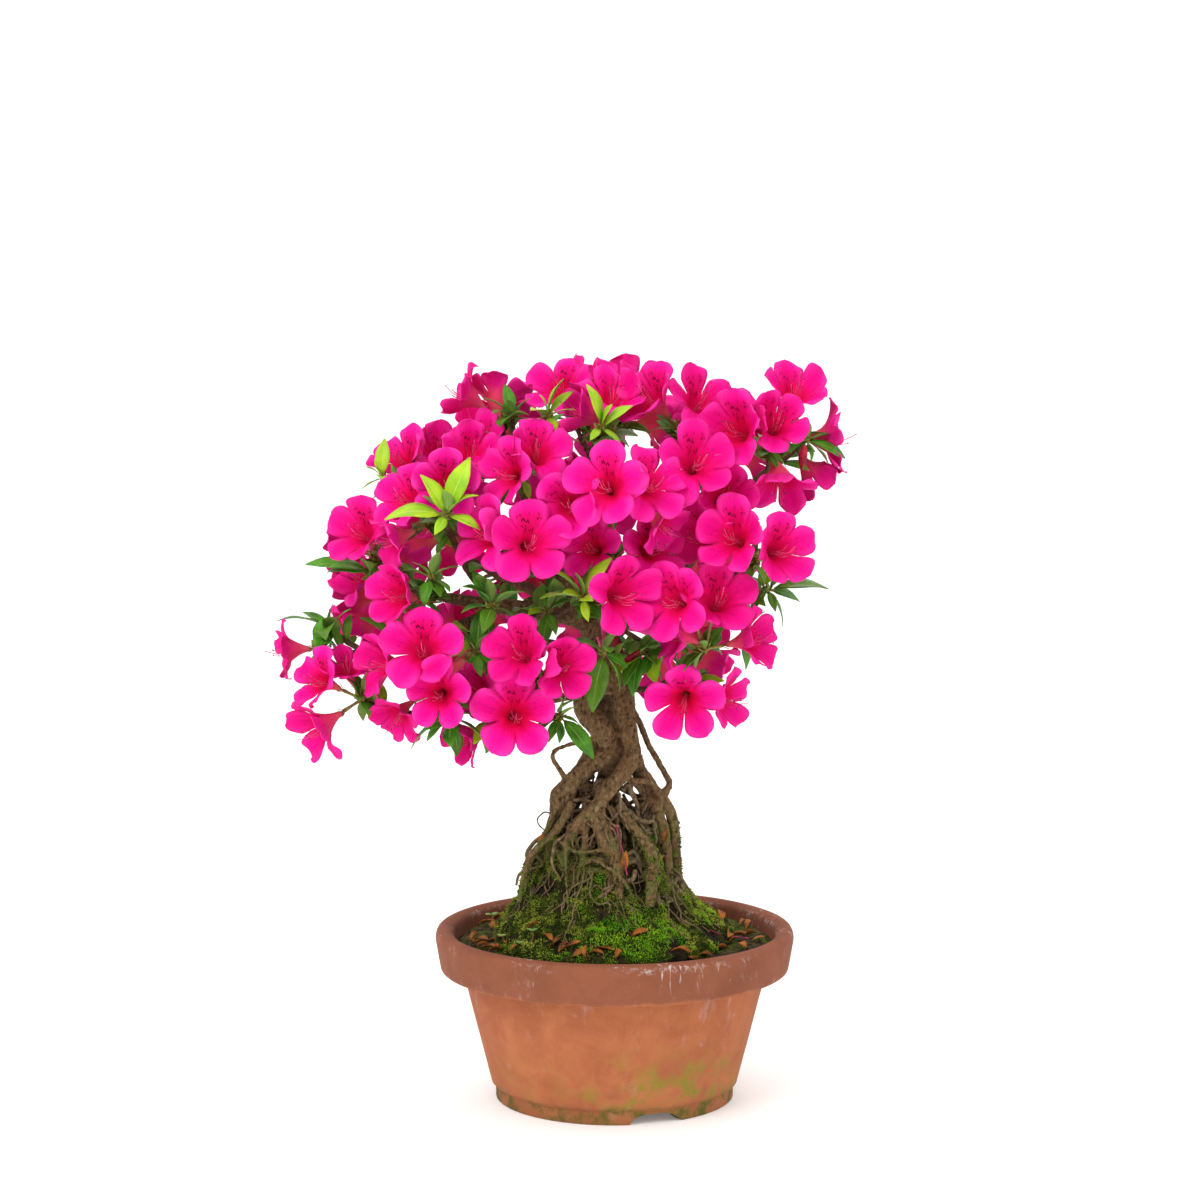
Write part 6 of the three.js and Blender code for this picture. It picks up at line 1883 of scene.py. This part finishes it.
def lying(along, up):  # turns a shape's X along one way and its Z near another
    y = up.cross(along).normalized()
    x = along.normalized()
    return Matrix((x, y, x.cross(y))).transposed().to_euler()


def makeGround():
    trees = [BVHTree.FromPolygons([v.co for v in m.vertices], [p.vertices for p in m.polygons])
             for m in (moundMesh, soilMesh)]

    def surface(x, y):
        hits = [t.ray_cast(placed((x, y, 250)), -upward) for t in trees]
        return max((hit for hit in hits if hit[0]), key=lambda hit: hit[0].z)

    draw = random.Random(ground["seed"])
    rows, leaves = list(ground["litter"]), []
    for i in range(ground["atBack"]):
        a, r = math.radians(draw.uniform(70, 290)), draw.uniform(62, 86)
        rows.append((r * math.sin(a), -r * math.cos(a), draw.uniform(0, 360), draw.uniform(8, 12)))
    for x, y, turn, length in rows:
        place, up, *rest = surface(x, y)
        way = rightOf(turn)
        way = (way - up * way.dot(up) + up * draw.uniform(-0.1, 0.3)).normalized()
        leaves.append((listed(place) + up * 1.6 - way * length / 2,
                       lying(way, up + Vector((0, draw.uniform(-0.7, 0.7), 0))),
                       Vector((1, draw.uniform(0.6, 1.3), draw.uniform(0.5, 1.5))) * length))
    for place, steep, length in ground["caught"]:
        s = math.radians(steep)
        leaves.append((place, lying(Vector((math.cos(s), -0.1, math.sin(s))), Vector((0, -1, 0.2))),
                       (length, length, length)))
    ready("dry_leaves", copies("litter", leaves, makeDryLeafShape(), dryLeaf), None)
    leaflets, stems = [], []
    for foot, head, count, width in ground["seedlings"]:
        bow = Vector(foot).lerp(Vector(head), 0.5) + Vector((1, 0, 0))
        stems.append((evenCurve([foot, bow, head], 8)[0], [0.35] * 9, 0.5))
        for a in [fullTurn * k / count + 0.5 for k in range(count)]:
            turn = lying(Vector((math.cos(a), math.sin(a), 0.15)), upward)
            leaflets.append((head, turn, (width, width, width)))
    stalks = [(evenCurve(route, 12)[0], [0.36] * 13, 0.5) for route in ground["stalks"]]
    mesh = joinedMesh("seedlings", copies("leaflets", leaflets, makeRoundLeafShape(), seedling),
                      strandMesh("stems", stems, 5, stalk), strandMesh("stalks", stalks, 6, redStalk))
    ready("seedlings_and_stalks", mesh, "leaf_young")


makeGround()
print("litter and seedlings laid")


studio = {
    "target": (-8.5, 0, 293), "elevation": 7, "distance": 2000, "lens": 103.65,
    "floor": "faf9f8", "skyLow": 0.75, "skyHigh": 1.25, "skySeen": 1.05,
    # place, aim, size and power of each lamp, in metres
    "lamps": {"keyLight": ((-0.9, -1.3, 1.5), (0, 0, 0.25), 1.1, 16),
              "fillLight": ((1.3, -1.1, 0.9), (0, 0, 0.25), 1.3, 3),
              "rimLight": ((0.3, 1.3, 1.4), (0, 0, 0.3), 1.0, 4)},
}


def makeFloor():
    form = bmesh.new()
    bmesh.ops.create_grid(form, x_segments=8, y_segments=8, size=9)
    look = Look("floor", 0.7, Emission_Color=(1, 1, 1, 1), Emission_Strength=0.14)
    look.base = look.mottled(look.place, studio["floor"], "f6f5f4", 3, 60, 0.1)[0]
    objectOf("floor", shaped("floor", form), look.finished())


def aimed(name, data, place, aim):
    made = objectOf(name, data)
    made.location = place
    made.rotation_euler = (Vector(aim) - made.location).to_track_quat("-Z", "Y").to_euler()
    return made


def makeStudio():
    makeFloor()
    for name, (place, aim, size, power) in studio["lamps"].items():
        data = bpy.data.lights.new(name, "AREA")
        data.shape, data.size, data.energy = "DISK", size, power
        aimed(name, data, place, aim)
    world = bpy.data.worlds.new("studio")
    world.use_nodes = True
    nodes, sky = Nodes(world.node_tree), world.node_tree.nodes["Background"].inputs
    sky["Color"].default_value = (1, 1, 1, 1)
    height = nodes.parts(nodes.add("ShaderNodeTexCoord", output="Generated"))[2]
    glow = height.step(-0.2, 0.9, studio["skyLow"], studio["skyHigh"])
    seen = nodes.add("ShaderNodeLightPath", output="Is Camera Ray")
    nodes.put(nodes.add("ShaderNodeMapRange", {"Value": seen, "To Min": glow, "To Max": studio["skySeen"]}),
              sky["Strength"])
    scene.world = world
    scene.view_settings.view_transform = "Standard"
    data = bpy.data.cameras.new("camera")
    data.lens, data.sensor_width, data.clip_end = studio["lens"], 36, 40
    aim, e = placed(studio["target"]), math.radians(studio["elevation"])
    place = aim + Vector((0, -math.cos(e), math.sin(e))) * studio["distance"] * mm
    scene.camera = aimed("camera", data, place, aim)


makeStudio()
print("lamps and camera placed")
